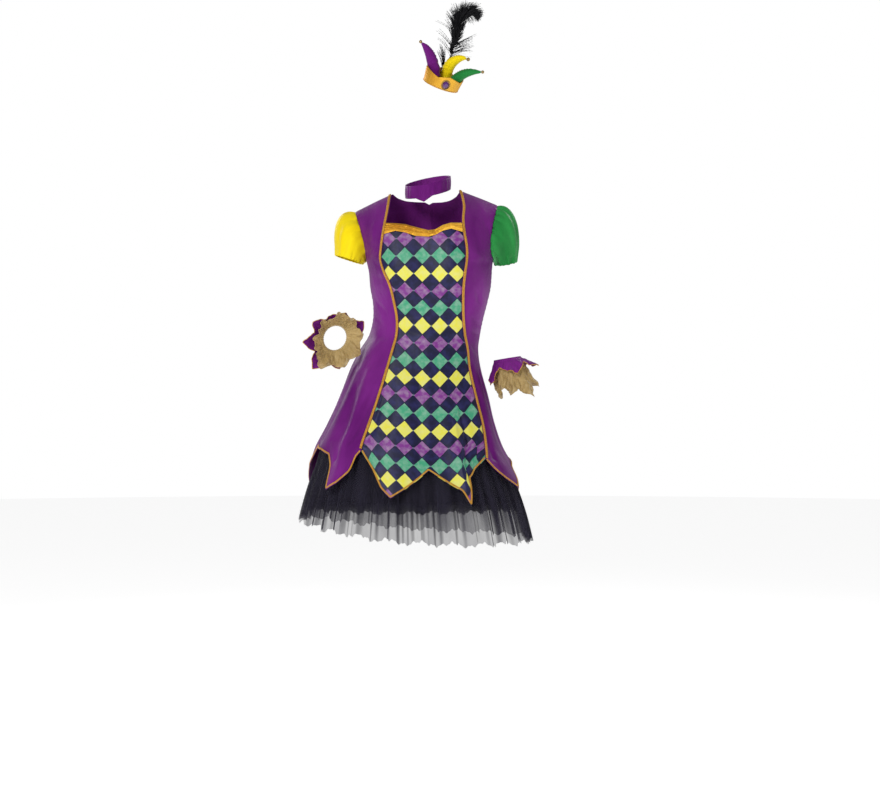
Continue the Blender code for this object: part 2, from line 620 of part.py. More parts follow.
def panels():
    """Every panel of the dress by node name, with its columns."""
    def front_levels(share):
        top = front_top_level(share)
        return SKIRT_LEVELS + SHARED_LEVELS + [(SHARED_LEVELS[-1] + top) / 2, top]

    def yellow_princess(level):
        return princess_angle(level, "yellow_seam")

    def green_princess(level):
        return princess_angle(level, "green_seam")

    front = Panel(FRONT_HEM, yellow_princess, green_princess, front_levels)
    side_yellow = Panel(
        YELLOW_SIDE_HEM, lambda level: side_angle(level, -1), yellow_princess, lambda share: SIDE_LEVELS
    )
    side_green = Panel(
        GREEN_SIDE_HEM, green_princess, lambda level: side_angle(level, 1), lambda share: SIDE_LEVELS
    )
    back_green = Panel(
        GREEN_BACK_HEM,
        lambda level: side_angle(level, 1, back=True),
        lambda level: centre_back_angle(level, 1),
        lambda share: BACK_LEVELS,
    )
    back_yellow = Panel(
        YELLOW_BACK_HEM,
        lambda level: centre_back_angle(level, -1),
        lambda level: side_angle(level, -1, back=True),
        lambda share: BACK_LEVELS,
    )
    return {
        "front_panel": (front, hem_columns(FRONT_HEM, (0.06, 0.35, 0.8, 0.92))),
        "side_front_yellow": (side_yellow, hem_columns(YELLOW_SIDE_HEM, (0.1, 0.2))),
        "side_front_green": (side_green, hem_columns(GREEN_SIDE_HEM, (0.3, 0.66, 0.9))),
        "back_green": (back_green, hem_columns(GREEN_BACK_HEM, ())),
        "back_yellow": (back_yellow, hem_columns(YELLOW_BACK_HEM, ())),
    }


def panel_point(panel, columns, share, row, out):
    """A point on the panel's own flat faces, moved out."""
    last = len(columns) - 1
    share = clamp(share, columns[0], columns[-1])
    c = next(n for n in range(last) if share <= columns[n + 1] + 1e-9)
    r = min(int(row), panel.row_count - 2)
    s = (share - columns[c]) / (columns[c + 1] - columns[c])
    t = row - r
    low = panel.point(columns[c], r, out).lerp(panel.point(columns[c + 1], r, out), s)
    high = panel.point(columns[c], r + 1, out).lerp(panel.point(columns[c + 1], r + 1, out), s)
    return low.lerp(high, t)


# Trims of the dress

def hem_lifts(panel, columns):
    """How tall the hem braid stands at each column, taller where the hem is steep."""
    places = [dress_middle(panel.level(s, 0), panel.angle(s, panel.level(s, 0))) for s in columns]
    slopes = []
    for a, b in zip(places, places[1:]):
        run = math.hypot(b.x - a.x, b.y - a.y)
        slopes.append(abs(b.z - a.z) / run)
    lifts = []
    for n in range(len(columns)):
        steepest = max(slopes[max(n - 1, 0):n + 1])
        lifts.append(min(HEM_BRAID_WIDTH * math.hypot(1.0, steepest), HEM_BRAID_MOST))
    return lifts


def tail_row(panel, share, height):
    """The row at a height above the hem."""
    return height / (HIP_SHELF - BUST_HEIGHT - panel.level(share, 0)) * TAIL_ROWS


def hem_braid(name, panel, columns, collection):
    """Gold braid along a panel's pointed hem, on its own columns so that it lies flat."""
    lifts = hem_lifts(panel, columns)

    def point(column, side, out):
        share = columns[column]
        row = tail_row(panel, share, HEM_BRAID_START + side * lifts[column])
        inset = HEM_BRAID_INSET * (1 if column == 0 else -1 if column == len(columns) - 1 else 0)
        return panel_point(panel, columns, share + inset, row, BRAID_OUT + out)

    mesh = wall_mesh(name, point, range(len(columns)), [0, 1], BRAID_THICKNESS, ridged=True)
    return add_object(name, mesh, "gold braid", collection)


def seam_braid(name, panel, columns, at_start, collection):
    """Gold braid on a side front, from the hem up the princess seam and the neck edge to the shoulder."""
    edge = 0.0 if at_start else 1.0
    inward = BRAID_SHARE if at_start else -BRAID_SHARE
    lift = hem_lifts(panel, columns)[0 if at_start else -1]
    first = tail_row(panel, edge, HEM_BRAID_START + lift + BRAID_END_GAP)
    rows = [first] + [row for row in panel.rows() if row > first + 0.3]

    def point(across, row, out):
        low = panel_point(panel, columns, edge, row, 0.0)
        high = panel_point(panel, columns, edge + inward, row, 0.0)
        share = edge + inward * across / (high - low).length
        return panel_point(panel, columns, share, row, BRAID_OUT + out)

    across = [0.0, SEAM_BRAID_WIDTH / 2, SEAM_BRAID_WIDTH]
    if not at_start:
        across.reverse()
    mesh = wall_mesh(name, point, across, rows, BRAID_THICKNESS, ridged=True)
    return add_object(name, mesh, "gold braid", collection)


def neckline_band(collection):
    """The gold band over the front panel's top edge, in two soft folds along it."""
    first, last = NECK_EDGES[2].yellow_seam, NECK_EDGES[2].green_seam

    def point(share, side, out):
        x = first + (last - first) * share
        height = straight_value(NECKLINE, "x", "height", x)
        reach = straight_value(NECKLINE, "x", "up" if side > 0 else "down", x)
        level = level_of(height + side * reach, x)
        start = princess_angle(level, "yellow_seam")
        end = princess_angle(level, "green_seam")
        angle = start + BAND_END + (end - start - 2 * BAND_END) * share
        fold = 0.5 - 0.5 * math.cos(2 * math.pi * side)
        rise = BAND_FOLD_DEPTH * fold if out > 0 else 0.0
        return dress_point(level, angle, BAND_OUT + out + rise)

    mesh = wall_mesh("neckline_band", point, even(BAND_COLUMNS), [-1.0, -0.5, 0.0, 0.5, 1.0], BAND_THICKNESS)
    return add_object("neckline_band", mesh, "gold satin", collection)


# Puff sleeves

def resample(points, count):
    """Evenly spaced points around a closed line."""
    points = points + [points[0]]
    lengths = [0.0]
    for a, b in zip(points, points[1:]):
        lengths.append(lengths[-1] + (b - a).length)
    made = []
    n = 0
    for k in range(count):
        goal = lengths[-1] * k / count
        while lengths[n + 1] < goal:
            n += 1
        made.append(points[n].lerp(points[n + 1], (goal - lengths[n]) / (lengths[n + 1] - lengths[n])))
    return made


def armhole_loop(side, count):
    """Even points around an armhole: down its front edge from the shoulder, and up its back edge."""
    lowest = SHOULDER_ARC * math.asin(ARMHOLE[1].rise) / (math.pi / 2)
    levels = [lowest + (SHOULDER_ARC - lowest) * (n / 24) ** 2 for n in range(25)]
    front = [dress_middle(level, side_angle(level, side)) for level in reversed(levels)]
    back = [dress_middle(level, side_angle(level, side, back=True)) for level in levels[1:-1]]
    return resample(front + back, count)


def sleeve(name, side, hem, finish, collection):
    """A puff sleeve between an armhole and its gathered hem ring."""
    count = SLEEVE_GATHERS * 4
    loop = armhole_loop(side, count)
    axis = Vector(hem.axis).normalized()
    outer = (Vector((side, 0.0, 0.0)) - axis * axis.x * side).normalized()
    front = axis.cross(outer) * (-side)
    if front.y > 0:
        front = -front
    centre = Vector(hem.centre)
    arm = Vector((side, 0.0, -0.2)).normalized()

    def middle(turn, down):
        turn %= 1.0
        n = int(turn * count) % count
        start = loop[n].lerp(loop[(n + 1) % count], turn * count - int(turn * count))
        top = 0.5 + 0.5 * math.cos(2 * math.pi * turn)
        radial = outer * math.cos(2 * math.pi * turn) + front * math.sin(2 * math.pi * turn)
        swell = Vector((0.0, radial.y * SLEEVE_FRONT_SWELL, SLEEVE_LIFT * (2 * top - 1)))
        p0 = start + arm * SLEEVE_START
        p1 = p0 + (arm + swell).normalized() * (SLEEVE_LEAVE + SLEEVE_LEAVE_TOP * top)
        p3 = centre + outer * hem.side_radius * math.cos(2 * math.pi * turn)
        p3 = p3 + front * hem.depth_radius * math.sin(2 * math.pi * turn)
        p2 = p3 - axis * (SLEEVE_RETURN + SLEEVE_RETURN_TOP * top) + radial * SLEEVE_OVERHANG * top
        s = down
        p = p0 * (1 - s) ** 3 + p1 * 3 * s * (1 - s) ** 2 + p2 * 3 * s**2 * (1 - s) + p3 * s**3
        wave = math.cos(2 * math.pi * SLEEVE_GATHERS * turn)
        share = SLEEVE_LEAST_GATHER + (1.0 - SLEEVE_LEAST_GATHER) * top
        depth = SLEEVE_GATHER_DEPTH * share * math.sin(math.pi * clamp(s, 0.0, 1.0)) ** 0.6
        return p + radial * wave * depth

    def point(turn, down, out):
        along = middle(turn + 0.002, down) - middle(turn - 0.002, down)
        low, high = max(down - 0.01, 0.0), min(down + 0.01, 1.0)
        fall = middle(turn, high) - middle(turn, low)
        normal = along.cross(fall).normalized() * side
        return middle(turn, down) + normal * out

    turns = [n / count for n in range(count)]
    mesh = wall_mesh(name, point, turns, even(SLEEVE_ROWS), SATIN, closed=True)
    return add_object(name, mesh, finish, collection)


# The petticoat

def net_middle(height, angle, inset, waves=0, depth=0.0):
    """A point of the petticoat, inset from the net's outer limit, with waves inwards of it."""
    turn = math.radians(angle)
    row = {c: table_value(NET_SECTIONS, "height", c, height) for c in
           ("centre", "half_width", "front", "back")}
    reach = -inset - depth / 2 + depth / 2 * math.cos(waves * turn)
    deep = cut_depth(row["front"] if math.cos(turn) > 0 else row["back"], turn)
    return Vector((
        row["centre"] + (row["half_width"] + reach) * math.sin(turn),
        -deep - reach * math.cos(turn),
        height,
    ))


def wave_depth(top, depth, height):
    """How deep a flounce's waves are, opening from its gathered top."""
    return GATHERED_DEPTH + depth * clamp((top - height) / WAVE_OPENING, 0.0, 1.0)


def layer_step(height):
    """The room between two layers: close where they are sewn on, then wider."""
    return SEAT_STEP + (LAYER_STEP - SEAT_STEP) * clamp((DENSE_TOP - height) / STEP_OPENING, 0.0, 1.0)


def sheer_layer(height):
    return FIRST_INSET, wave_depth(SHEER_TOP, SHEER_WAVE_DEPTH, height)


def dense_layer(height):
    inset, depth = sheer_layer(height)
    return inset + depth + layer_step(height), wave_depth(DENSE_TOP, DENSE_WAVE_DEPTH, height)


def yoke_layer(height):
    """The smooth yoke: on the waist seam at its top, then behind the top edge of each flounce."""
    under_sheer = FIRST_INSET + GATHERED_DEPTH + SEAT_STEP
    if height > SHEER_TOP:
        share = (height - SHEER_TOP) / (YOKE_HEIGHTS[-1] - SHEER_TOP)
        return under_sheer + (YOKE_SEAT - under_sheer) * share, 0.0
    inset, depth = dense_layer(height)
    share = clamp((SHEER_TOP - height) / (SHEER_TOP - DENSE_TOP), 0.0, 1.0)
    return under_sheer + (inset + depth + layer_step(height) - under_sheer) * share, 0.0


def sheer_hem(angle):
    """The sheer flounce's hem, lifted at the yellow side."""
    lean = (1 - math.sin(math.radians(angle))) / 2
    return NET_HEM_HEIGHT + NET_HEM_LIFT * lean**3


def net_piece(name, layer, waves, heights, half, columns, collection, finish="black net"):
    """Half a flounce or yoke, front or back, between two side seams. Heights are rows, or a hem to a top."""
    def point(share, row, out):
        start, end = (-90.0, 90.0) if half == "front" else (90.0, 270.0)
        angle = with_gap(start, end, share, NET_RADIUS)

        def surface(z, a):
            inset, depth = layer(z)
            return net_middle(z, a, inset, waves, depth)

        height = heights(angle)[row]
        return surface(height, angle) + outward(surface, height, angle, 0.002, 0.3) * out

    mesh = wall_mesh(name, point, even(columns), range(len(heights(0.0))), TULLE)
    return add_object(name, mesh, finish, collection)


def between(low, high, count):
    return [low + (high - low) * n / count for n in range(count + 1)]


# Choker and cuffs

def choker(collection):
    """The neck band, with a shallow point at the front."""
    def point(angle, side, out):
        turn = math.radians(angle)
        away = abs((angle - CHOKER_POINT_ANGLE + 180.0) % 360.0 - 180.0)
        dip = CHOKER_POINT * clamp(1 - away / CHOKER_POINT_WIDTH, 0.0, 1.0)
        low = CHOKER_LOW - dip
        x = (CHOKER_RADIUS + out) * math.sin(turn)
        y = -(CHOKER_RADIUS + out) * math.cos(turn)
        height = low + (CHOKER_HIGH - low) * side + CHOKER_ROLL * x + CHOKER_PITCH * y
        return Vector((CHOKER_CENTRE[0] + x, CHOKER_CENTRE[1] + y, height))

    start = CHOKER_POINT_ANGLE
    columns = [start + 360.0 * n / CHOKER_COLUMNS for n in range(CHOKER_COLUMNS)]
    mesh = wall_mesh("choker", point, columns, even(1), CHOKER_THICKNESS, closed=True)
    return add_object("choker", mesh, "purple satin", collection)


def cuff_tier(name, cuff, tier, finish, collection):
    """One jagged tier of a wrist cuff, flaring from its elastic."""
    hand = Vector(cuff.axis).normalized()
    back = Vector(cuff.back)
    back = (back - hand * hand.dot(back)).normalized()
    right = back.cross(hand)
    if right.x < 0:
        right = -right
    centre = Vector(cuff.centre)
    waves = tier.waves

    def middle(angle, part):
        length = straight_value(tier.points, "angle", "length", angle)
        flare = straight_value(tier.points, "angle", "flare", angle)
        flare += tier.wave * math.cos(math.radians(angle) * waves)
        turn = math.radians(angle)
        radial = right * math.sin(turn) - back * math.cos(turn)
        reach = length * part
        bend = math.radians(flare) * clamp(CUFF_START + reach / CUFF_TURN, CUFF_START, 1.0)
        return centre + radial * (tier.ring_radius + reach * math.sin(bend)) + hand * reach * math.cos(bend)

    def point(angle, part, out):
        along = middle(angle + 0.5, part) - middle(angle - 0.5, part)
        fall = middle(angle, part + 0.03) - middle(angle, part)
        normal = along.cross(fall).normalized() * handed
        return middle(angle, part) + normal * out

    straight_down = middle(0.0, 1.0) - middle(0.0, 0.0)
    around = middle(0.5, 0.5) - middle(-0.5, 0.5)
    handed = 1.0 if around.cross(straight_down).dot(-back) > 0 else -1.0
    count = tier.columns
    columns = [-180.0 + 360.0 * n / count for n in range(count)]
    mesh = wall_mesh(name, point, columns, even(tier.rows), tier.thickness, closed=True)
    return add_object(name, mesh, finish, collection)


# The hat

def hat_frame():
    """The hat's own axes: side, back and up."""
    up = Vector(HAT_UP).normalized()
    side = (Vector((1.0, 0.0, 0.0)) - up * up.x).normalized()
    back = up.cross(side)
    frame = Matrix((side, back, up)).transposed().to_4x4()
    frame.translation = Vector(HAT_CENTRE)
    return frame


def hat_crown(frame, collection):
    """The pointed gold band."""
    def point(angle, part, out):
        turn = math.radians(angle)
        height = straight_value(CROWN_POINTS, "angle", "height", angle) * part
        radius = CROWN_RADIUS + CROWN_FLARE * height + out
        return frame @ Vector((radius * math.sin(turn), -radius * math.cos(turn), height))

    columns = [-180.0 + 360.0 * n / CROWN_COLUMNS for n in range(CROWN_COLUMNS)]
    mesh = wall_mesh("hat_crown", point, columns, even(1), CROWN_THICKNESS, closed=True)
    return add_object("hat_crown", mesh, "gold satin", collection)


def bent_horn(name, knots, finish, frame, collection):
    """A stuffed horn or plume: a smooth curve of changing radius with filled ends."""
    places = [a.along + (b.along - a.along) * n / 3 for a, b in zip(knots, knots[1:]) for n in range(3)]
    places.append(knots[-1].along)
    curve = bpy.data.curves.new(name, "CURVE")
    curve.dimensions = "3D"
    curve.bevel_depth = 1.0
    curve.bevel_resolution = 2
    curve.use_fill_caps = True
    spline = curve.splines.new("POLY")
    spline.points.add(len(places) - 1)
    for point, place in zip(spline.points, places):
        side, back, up, radius = (
            table_value(knots, "along", column, place) for column in ("side", "back", "up", "radius")
        )
        point.co = (*(frame @ Vector((side, back, up))), 1.0)
        point.radius = radius
    return add_object(name, curve, finish, collection)


def bell(name, knots, radius, frame, collection):
    """A round bell, sewn on past a horn's tip."""
    before, tip = (Vector((knot.side, knot.back, knot.up)) for knot in knots[-2:])
    place = tip + (tip - before).normalized() * (radius + LIE_GAP)
    return ball(name, place, [radius] * 3, "gold metal", frame, collection)


def ball(name, place, radii, finish, frame, collection):
    """A ball or an oval of three radii, in the hat's frame."""
    mesh = bpy.data.meshes.new(name)
    bm = bmesh.new()
    shape = frame @ Matrix.Translation(Vector(place))
    shape = shape @ Matrix.Diagonal((*radii, 1.0))
    bmesh.ops.create_uvsphere(bm, u_segments=BALL_SEGMENTS, v_segments=BALL_RINGS, radius=1.0, matrix=shape)
    bm.to_mesh(mesh)
    bm.free()
    mesh.shade_smooth()
    return add_object(name, mesh, finish, collection)


def hat_base(frame, collection):
    """The stiff disc inside the crown that the horns and the feather stand on."""
    mesh = bpy.data.meshes.new("hat_base")
    bm = bmesh.new()
    middle = frame @ Matrix.Translation((0.0, 0.0, BASE_THICKNESS / 2))
    bmesh.ops.create_cone(
        bm, cap_ends=True, segments=BASE_SEGMENTS, radius1=BASE_RADIUS, radius2=BASE_RADIUS,
        depth=BASE_THICKNESS, matrix=middle,
    )
    bm.to_mesh(mesh)
    bm.free()
    return add_object("hat_base", mesh, "gold satin", collection)


def gem_place():
    """Where the gem lies on the crown, turned to its slope: x across, y into the crown, z up."""
    lean = math.atan(CROWN_FLARE)
    radius = CROWN_RADIUS + CROWN_FLARE * GEM_HEIGHT + CROWN_THICKNESS / 2 + GEM_RADII[1] + LIE_GAP
    turned = Matrix.Rotation(math.radians(GEM_ANGLE), 4, "Z")
    return turned @ Matrix.Translation((0.0, -radius, GEM_HEIGHT)) @ Matrix.Rotation(lean, 4, "X")


def gem_rim(frame, collection):
    """The gold wire rim that holds the gem."""
    curve = bpy.data.curves.new("hat_gem_rim", "CURVE")
    curve.dimensions = "3D"
    curve.bevel_depth = GEM_RIM_WIRE
    curve.bevel_resolution = 1
    spline = curve.splines.new("POLY")
    spline.points.add(GEM_RIM_POINTS - 1)
    spline.use_cyclic_u = True
    reach = GEM_RIM_WIRE + LIE_GAP
    behind = GEM_RADII[1] - GEM_RIM_WIRE
    for n, knot in enumerate(spline.points):
        turn = 2 * math.pi * n / GEM_RIM_POINTS
        across, tall = GEM_RADII[0] + reach, GEM_RADII[2] + reach
        place = Vector((across * math.cos(turn), behind, tall * math.sin(turn)))
        knot.co = (*(frame @ gem_place() @ place), 1.0)
    return add_object("hat_gem_rim", curve, "gold metal", collection)


def build_dress(collection):
    made = panels()
    finishes = {"front_panel": "harlequin print"}
    for name, (panel, columns) in made.items():
        mesh = wall_mesh(name, panel.point, columns, panel.rows(), SATIN)
        add_object(name, mesh, finishes.get(name, "purple satin"), collection)
        hem_braid("hem_braid_" + name, panel, columns, collection)
    seam_braid("seam_braid_yellow", *made["side_front_yellow"], False, collection)
    seam_braid("seam_braid_green", *made["side_front_green"], True, collection)
    neckline_band(collection)
    sleeve("sleeve_yellow", -1, YELLOW_SLEEVE_HEM, "yellow satin", collection)
    sleeve("sleeve_green", 1, GREEN_SLEEVE_HEM, "green satin", collection)


def build_petticoat(collection):
    for half in ("front", "back"):
        net_piece("petticoat_yoke_" + half, yoke_layer, 0, lambda a: YOKE_HEIGHTS, half, YOKE_COLUMNS,
                  collection)
        net_piece("petticoat_dense_" + half, dense_layer, DENSE_WAVES,
                  lambda a: between(DENSE_HEM, DENSE_TOP, DENSE_ROWS), half, DENSE_WAVES * 2, collection)
        net_piece("petticoat_sheer_" + half, sheer_layer, SHEER_WAVES,
                  lambda a: between(sheer_hem(a), SHEER_TOP, SHEER_ROWS), half, SHEER_WAVES * 2, collection,
                  "sheer net")


def build_accessories(collection):
    choker(collection)
    cuff_tier("cuff_yellow_side_satin", YELLOW_CUFF, YELLOW_CUFF_SATIN, "purple satin", collection)
    cuff_tier("cuff_yellow_side_organza", YELLOW_CUFF, YELLOW_CUFF_ORGANZA, "gold organza", collection)
    cuff_tier("cuff_green_side_satin", GREEN_CUFF, GREEN_CUFF_SATIN, "purple satin", collection)
    cuff_tier("cuff_green_side_organza", GREEN_CUFF, GREEN_CUFF_ORGANZA, "gold organza", collection)


def build_hat(collection):
    frame = hat_frame()
    hat_crown(frame, collection)
    hat_base(frame, collection)
    bent_horn("hat_horn_purple", PURPLE_HORN, "purple satin", frame, collection)
    bent_horn("hat_horn_yellow", YELLOW_HORN, "yellow satin", frame, collection)
    bent_horn("hat_horn_green", GREEN_HORN, "green satin", frame, collection)
    bent_horn("hat_feather", FEATHER, "black feather", frame, collection)
    bell("hat_bell_purple", PURPLE_HORN, PURPLE_BELL_RADIUS, frame, collection)
    bell("hat_bell_yellow", YELLOW_HORN, YELLOW_BELL_RADIUS, frame, collection)
    bell("hat_bell_green", GREEN_HORN, GREEN_BELL_RADIUS, frame, collection)
    place = gem_place()
    ball("hat_gem", (0.0, 0.0, 0.0), GEM_RADII, "purple gem", frame @ place, collection)
    gem_rim(frame, collection)


def main():
    for old in list(bpy.data.objects):
        bpy.data.objects.remove(old, do_unlink=True)
    collection = bpy.data.collections.new("harlequin_costume")
    bpy.context.scene.collection.children.link(collection)
    build_dress(collection)
    build_petticoat(collection)
    build_accessories(collection)
    build_hat(collection)


main()
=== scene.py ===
# %% [markdown]
# # A harlequin costume, worn and empty
#
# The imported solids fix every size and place. This lesson dresses them: each cut piece of cloth becomes a thin
# sheet on its solid's own surface, with creases, braid and a finish. Metres, +Z up, the front faces -Y.

import math
import random
from collections import namedtuple

import bmesh
import bpy
import numpy as np
from mathutils import Matrix, Vector


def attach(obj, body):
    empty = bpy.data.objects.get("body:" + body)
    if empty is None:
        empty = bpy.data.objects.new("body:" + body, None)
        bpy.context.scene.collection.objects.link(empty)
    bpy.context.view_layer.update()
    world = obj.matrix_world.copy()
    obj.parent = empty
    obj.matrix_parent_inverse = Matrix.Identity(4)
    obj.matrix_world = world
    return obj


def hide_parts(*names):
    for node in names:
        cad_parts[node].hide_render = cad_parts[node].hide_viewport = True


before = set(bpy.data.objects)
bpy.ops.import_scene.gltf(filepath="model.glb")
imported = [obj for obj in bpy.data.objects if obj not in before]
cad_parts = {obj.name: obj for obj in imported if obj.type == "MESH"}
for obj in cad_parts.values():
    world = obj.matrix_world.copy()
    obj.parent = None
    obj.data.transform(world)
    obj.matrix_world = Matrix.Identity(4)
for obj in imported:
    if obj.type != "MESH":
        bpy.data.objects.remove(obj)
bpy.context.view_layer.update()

# %% [markdown]
# ## The camera, the floor and the light
#
# A studio picture of a whole outfit is taken from far away with a long lens, so that the hem isn't seen from
# above. The camera stands level with the middle of the frame, and its lens follows from the width it sees.

# %% Camera
CAMERA_PLACE = Vector((0.035, -4.5, -0.5))
WIDTH_SEEN = 2.2
SENSOR = 36.0
scene = bpy.context.scene
camera_data = bpy.data.cameras.new("camera")
camera_data.sensor_width = SENSOR
camera_data.lens = SENSOR * abs(CAMERA_PLACE.y) / WIDTH_SEEN
camera = bpy.data.objects.new("camera", camera_data)
camera.location = CAMERA_PLACE
camera.rotation_euler = (math.radians(90), 0, 0)
scene.collection.objects.link(camera)
scene.camera = camera

# %% Floor and colour handling
FLOOR_HEIGHT = -1.48
FLOOR_RADIUS = 14.0
scene.view_settings.view_transform = "Standard"
scene.cycles.transparent_max_bounces = 32


def plain_material(name, colour, roughness, glow):
    made = bpy.data.materials.new(name)
    made.use_nodes = True
    shader = made.node_tree.nodes["Principled BSDF"]
    shader.inputs["Base Color"].default_value = (*colour, 1.0)
    shader.inputs["Roughness"].default_value = roughness
    shader.inputs["Emission Color"].default_value = (1.0, 1.0, 1.0, 1.0)
    shader.inputs["Emission Strength"].default_value = glow
    return made


def new_piece(name, bm, finish):
    """Turns a bmesh into a smooth-shaded object at the origin, with one finish."""
    mesh = bpy.data.meshes.new(name)
    for face in bm.faces:
        face.smooth = True
    bm.to_mesh(mesh)
    bm.free()
    mesh.materials.append(finish)
    piece = bpy.data.objects.new(name, mesh)
    scene.collection.objects.link(piece)
    return piece


bm = bmesh.new()
bmesh.ops.create_circle(bm, cap_ends=True, segments=96, radius=FLOOR_RADIUS)
bmesh.ops.translate(bm, verts=bm.verts, vec=(0, 0, FLOOR_HEIGHT))
floor = new_piece("floor", bm, plain_material("floor", (0.93, 0.93, 0.93), 0.8, 0.62))

# %% Rows of numbers, and what each piece says
def table(kind, *rows):
    """Rows of numbers as named tuples of one kind."""
    return [kind(*row) for row in rows]


def settle(piece, slot, *nodes):
    """Says which body carries a piece and which solids it stands for, and hides those solids. Its slot, which names
    its finish, is not used.
    """
    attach(piece, "root")
    if nodes:
        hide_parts(*nodes)


# %% Light
Lamp = namedtuple("Lamp", "name place size watts")
LAMPS = table(
    Lamp,
    ("key", (-1.5, -3.3, 1.3), 1.1, 74), ("fill", (2.4, -2.8, 0.4), 2.0, 12),
    ("back_left", (-2.0, 2.4, 1.2), 1.4, 26), ("back_right", (2.2, 2.0, 1.6), 1.4, 26),
)
LAMP_TARGET = Vector((0.0, 0.0, -0.4))
SURROUND = 0.34
for lamp in LAMPS:
    data = bpy.data.lights.new(lamp.name, "AREA")
    data.size = lamp.size
    data.energy = lamp.watts
    light = bpy.data.objects.new(lamp.name, data)
    light.location = lamp.place
    light.rotation_euler = (LAMP_TARGET - light.location).to_track_quat("-Z", "Y").to_euler()
    scene.collection.objects.link(light)
world = bpy.data.worlds.new("studio")
world.use_nodes = True
surround = world.node_tree.nodes["Background"]
backdrop = world.node_tree.nodes.new("ShaderNodeBackground")
path = world.node_tree.nodes.new("ShaderNodeLightPath")
either = world.node_tree.nodes.new("ShaderNodeMixShader")
surround.inputs["Color"].default_value = (1, 1, 1, 1)
surround.inputs["Strength"].default_value = SURROUND
backdrop.inputs["Color"].default_value = (1, 1, 1, 1)
world.node_tree.links.new(path.outputs["Is Camera Ray"], either.inputs[0])
world.node_tree.links.new(surround.outputs[0], either.inputs[1])
world.node_tree.links.new(backdrop.outputs[0], either.inputs[2])
world.node_tree.links.new(either.outputs[0], world.node_tree.nodes["World Output"].inputs["Surface"])
scene.world = world

# %% [markdown]
# ## Finishes
#
# Every finish is made from shader nodes. The cloths read their flat cut, a UV map in metres, so that a weave or
# a print runs with the threads and bends over the folds. Small bumps carry the weave, and large soft ones the
# crush that makes satin look like satin.

# %% Node helpers
class Finish:
    """A material, with short ways to add its nodes, link them and set its shader."""

    def __init__(self, name):
        self.made = bpy.data.materials.new(name)
        self.made.use_nodes = True
        self.nodes, self.links = self.made.node_tree.nodes, self.made.node_tree.links
        self.shader = self.nodes["Principled BSDF"]

    def join(self, socket, term):
        """Links a socket to an output, or gives it a number or a colour."""
        if hasattr(term, "is_linked"):
            self.links.new(term, socket)
        else:
            socket.default_value = (*term, 1.0) if isinstance(term, tuple) else term

    def set(self, **terms):
        for key, term in terms.items():
            self.join(self.shader.inputs[key.replace("_", " ")], term)

    def node(self, kind, **values):
        """Adds a node. A value goes to the property of that name, or else to the socket."""
        made = self.nodes.new("ShaderNode" + kind)
        for key, value in values.items():
            if hasattr(made, key):
                setattr(made, key, value)
            else:
                made.inputs[key.replace("_", " ")].default_value = value
        return made

    def math(self, operation, *terms):
        made = self.node("Math", operation=operation)
        for socket, term in zip(made.inputs, terms):
            self.join(socket, term)
        return made.outputs[0]

    def mix(self, share, low, high):
        made = self.node("Mix", data_type="RGBA")
        for place, term in ((0, share), (6, low), (7, high)):
            self.join(made.inputs[place], term)
        return made.outputs[2]

    def spread(self, value, **ends):
        """Stretches a range of values to 0 to 1, or to the ends given."""
        made = self.node("MapRange", **ends)
        self.join(made.inputs["Value"], value)
        return made.outputs[0]

    def noise(self, where, scale, detail=2.0, stretch=(1.0, 1.0, 1.0)):
        """Soft noise, from 0 to 1, on object places or on the flat cut."""
        mapping = self.node("Mapping", Scale=stretch)
        self.join(mapping.inputs["Vector"], self.node("TexCoord").outputs[where])
        made = self.node("TexNoise", Scale=scale, Detail=detail)
        self.join(made.inputs["Vector"], mapping.outputs[0])
        return made.outputs[0]

    def flat_cut(self):
        """The two flat coordinates of a cloth, in metres: across and along."""
        parts = self.node("SeparateXYZ")
        self.join(parts.inputs[0], self.node("TexCoord").outputs["UV"])
        return parts.outputs[0], parts.outputs[1]

    def weave(self, pitch):
        """A plain weave of the flat cut: threads across and along, from 0 to 1."""
        one, two = (self.math("SINE", self.math("MULTIPLY", way,
                                                2 * math.pi / pitch)) for way in self.flat_cut())
        return self.math("MULTIPLY_ADD", self.math("MULTIPLY", one, two), 0.5, 0.5)

    def bumps(self, *layers):
        """Stacks bump maps on the shader. Each layer is a height from 0 to 1 and its depth in metres."""
        last = None
        for height, depth in layers:
            bump = self.node("Bump", Strength=1.0, Distance=depth)
            self.join(bump.inputs["Height"], height)
            if last:
                self.join(bump.inputs["Normal"], last)
            last = bump.outputs[0]
        self.join(self.shader.inputs["Normal"], last)


# %% [markdown]
# ### Satin
#
# Satin is polyester with long floating threads. It has a broad soft shine along its folds, and its colour changes
# softly over the cloth, so a plain glossy shader looks like plastic. A fairly rough base, a little coloured sheen
# and shallow crush bumps come closer.

# %% Satin
WEAVE_PITCH = 0.0011
WEAVE_DEPTH = 0.00006


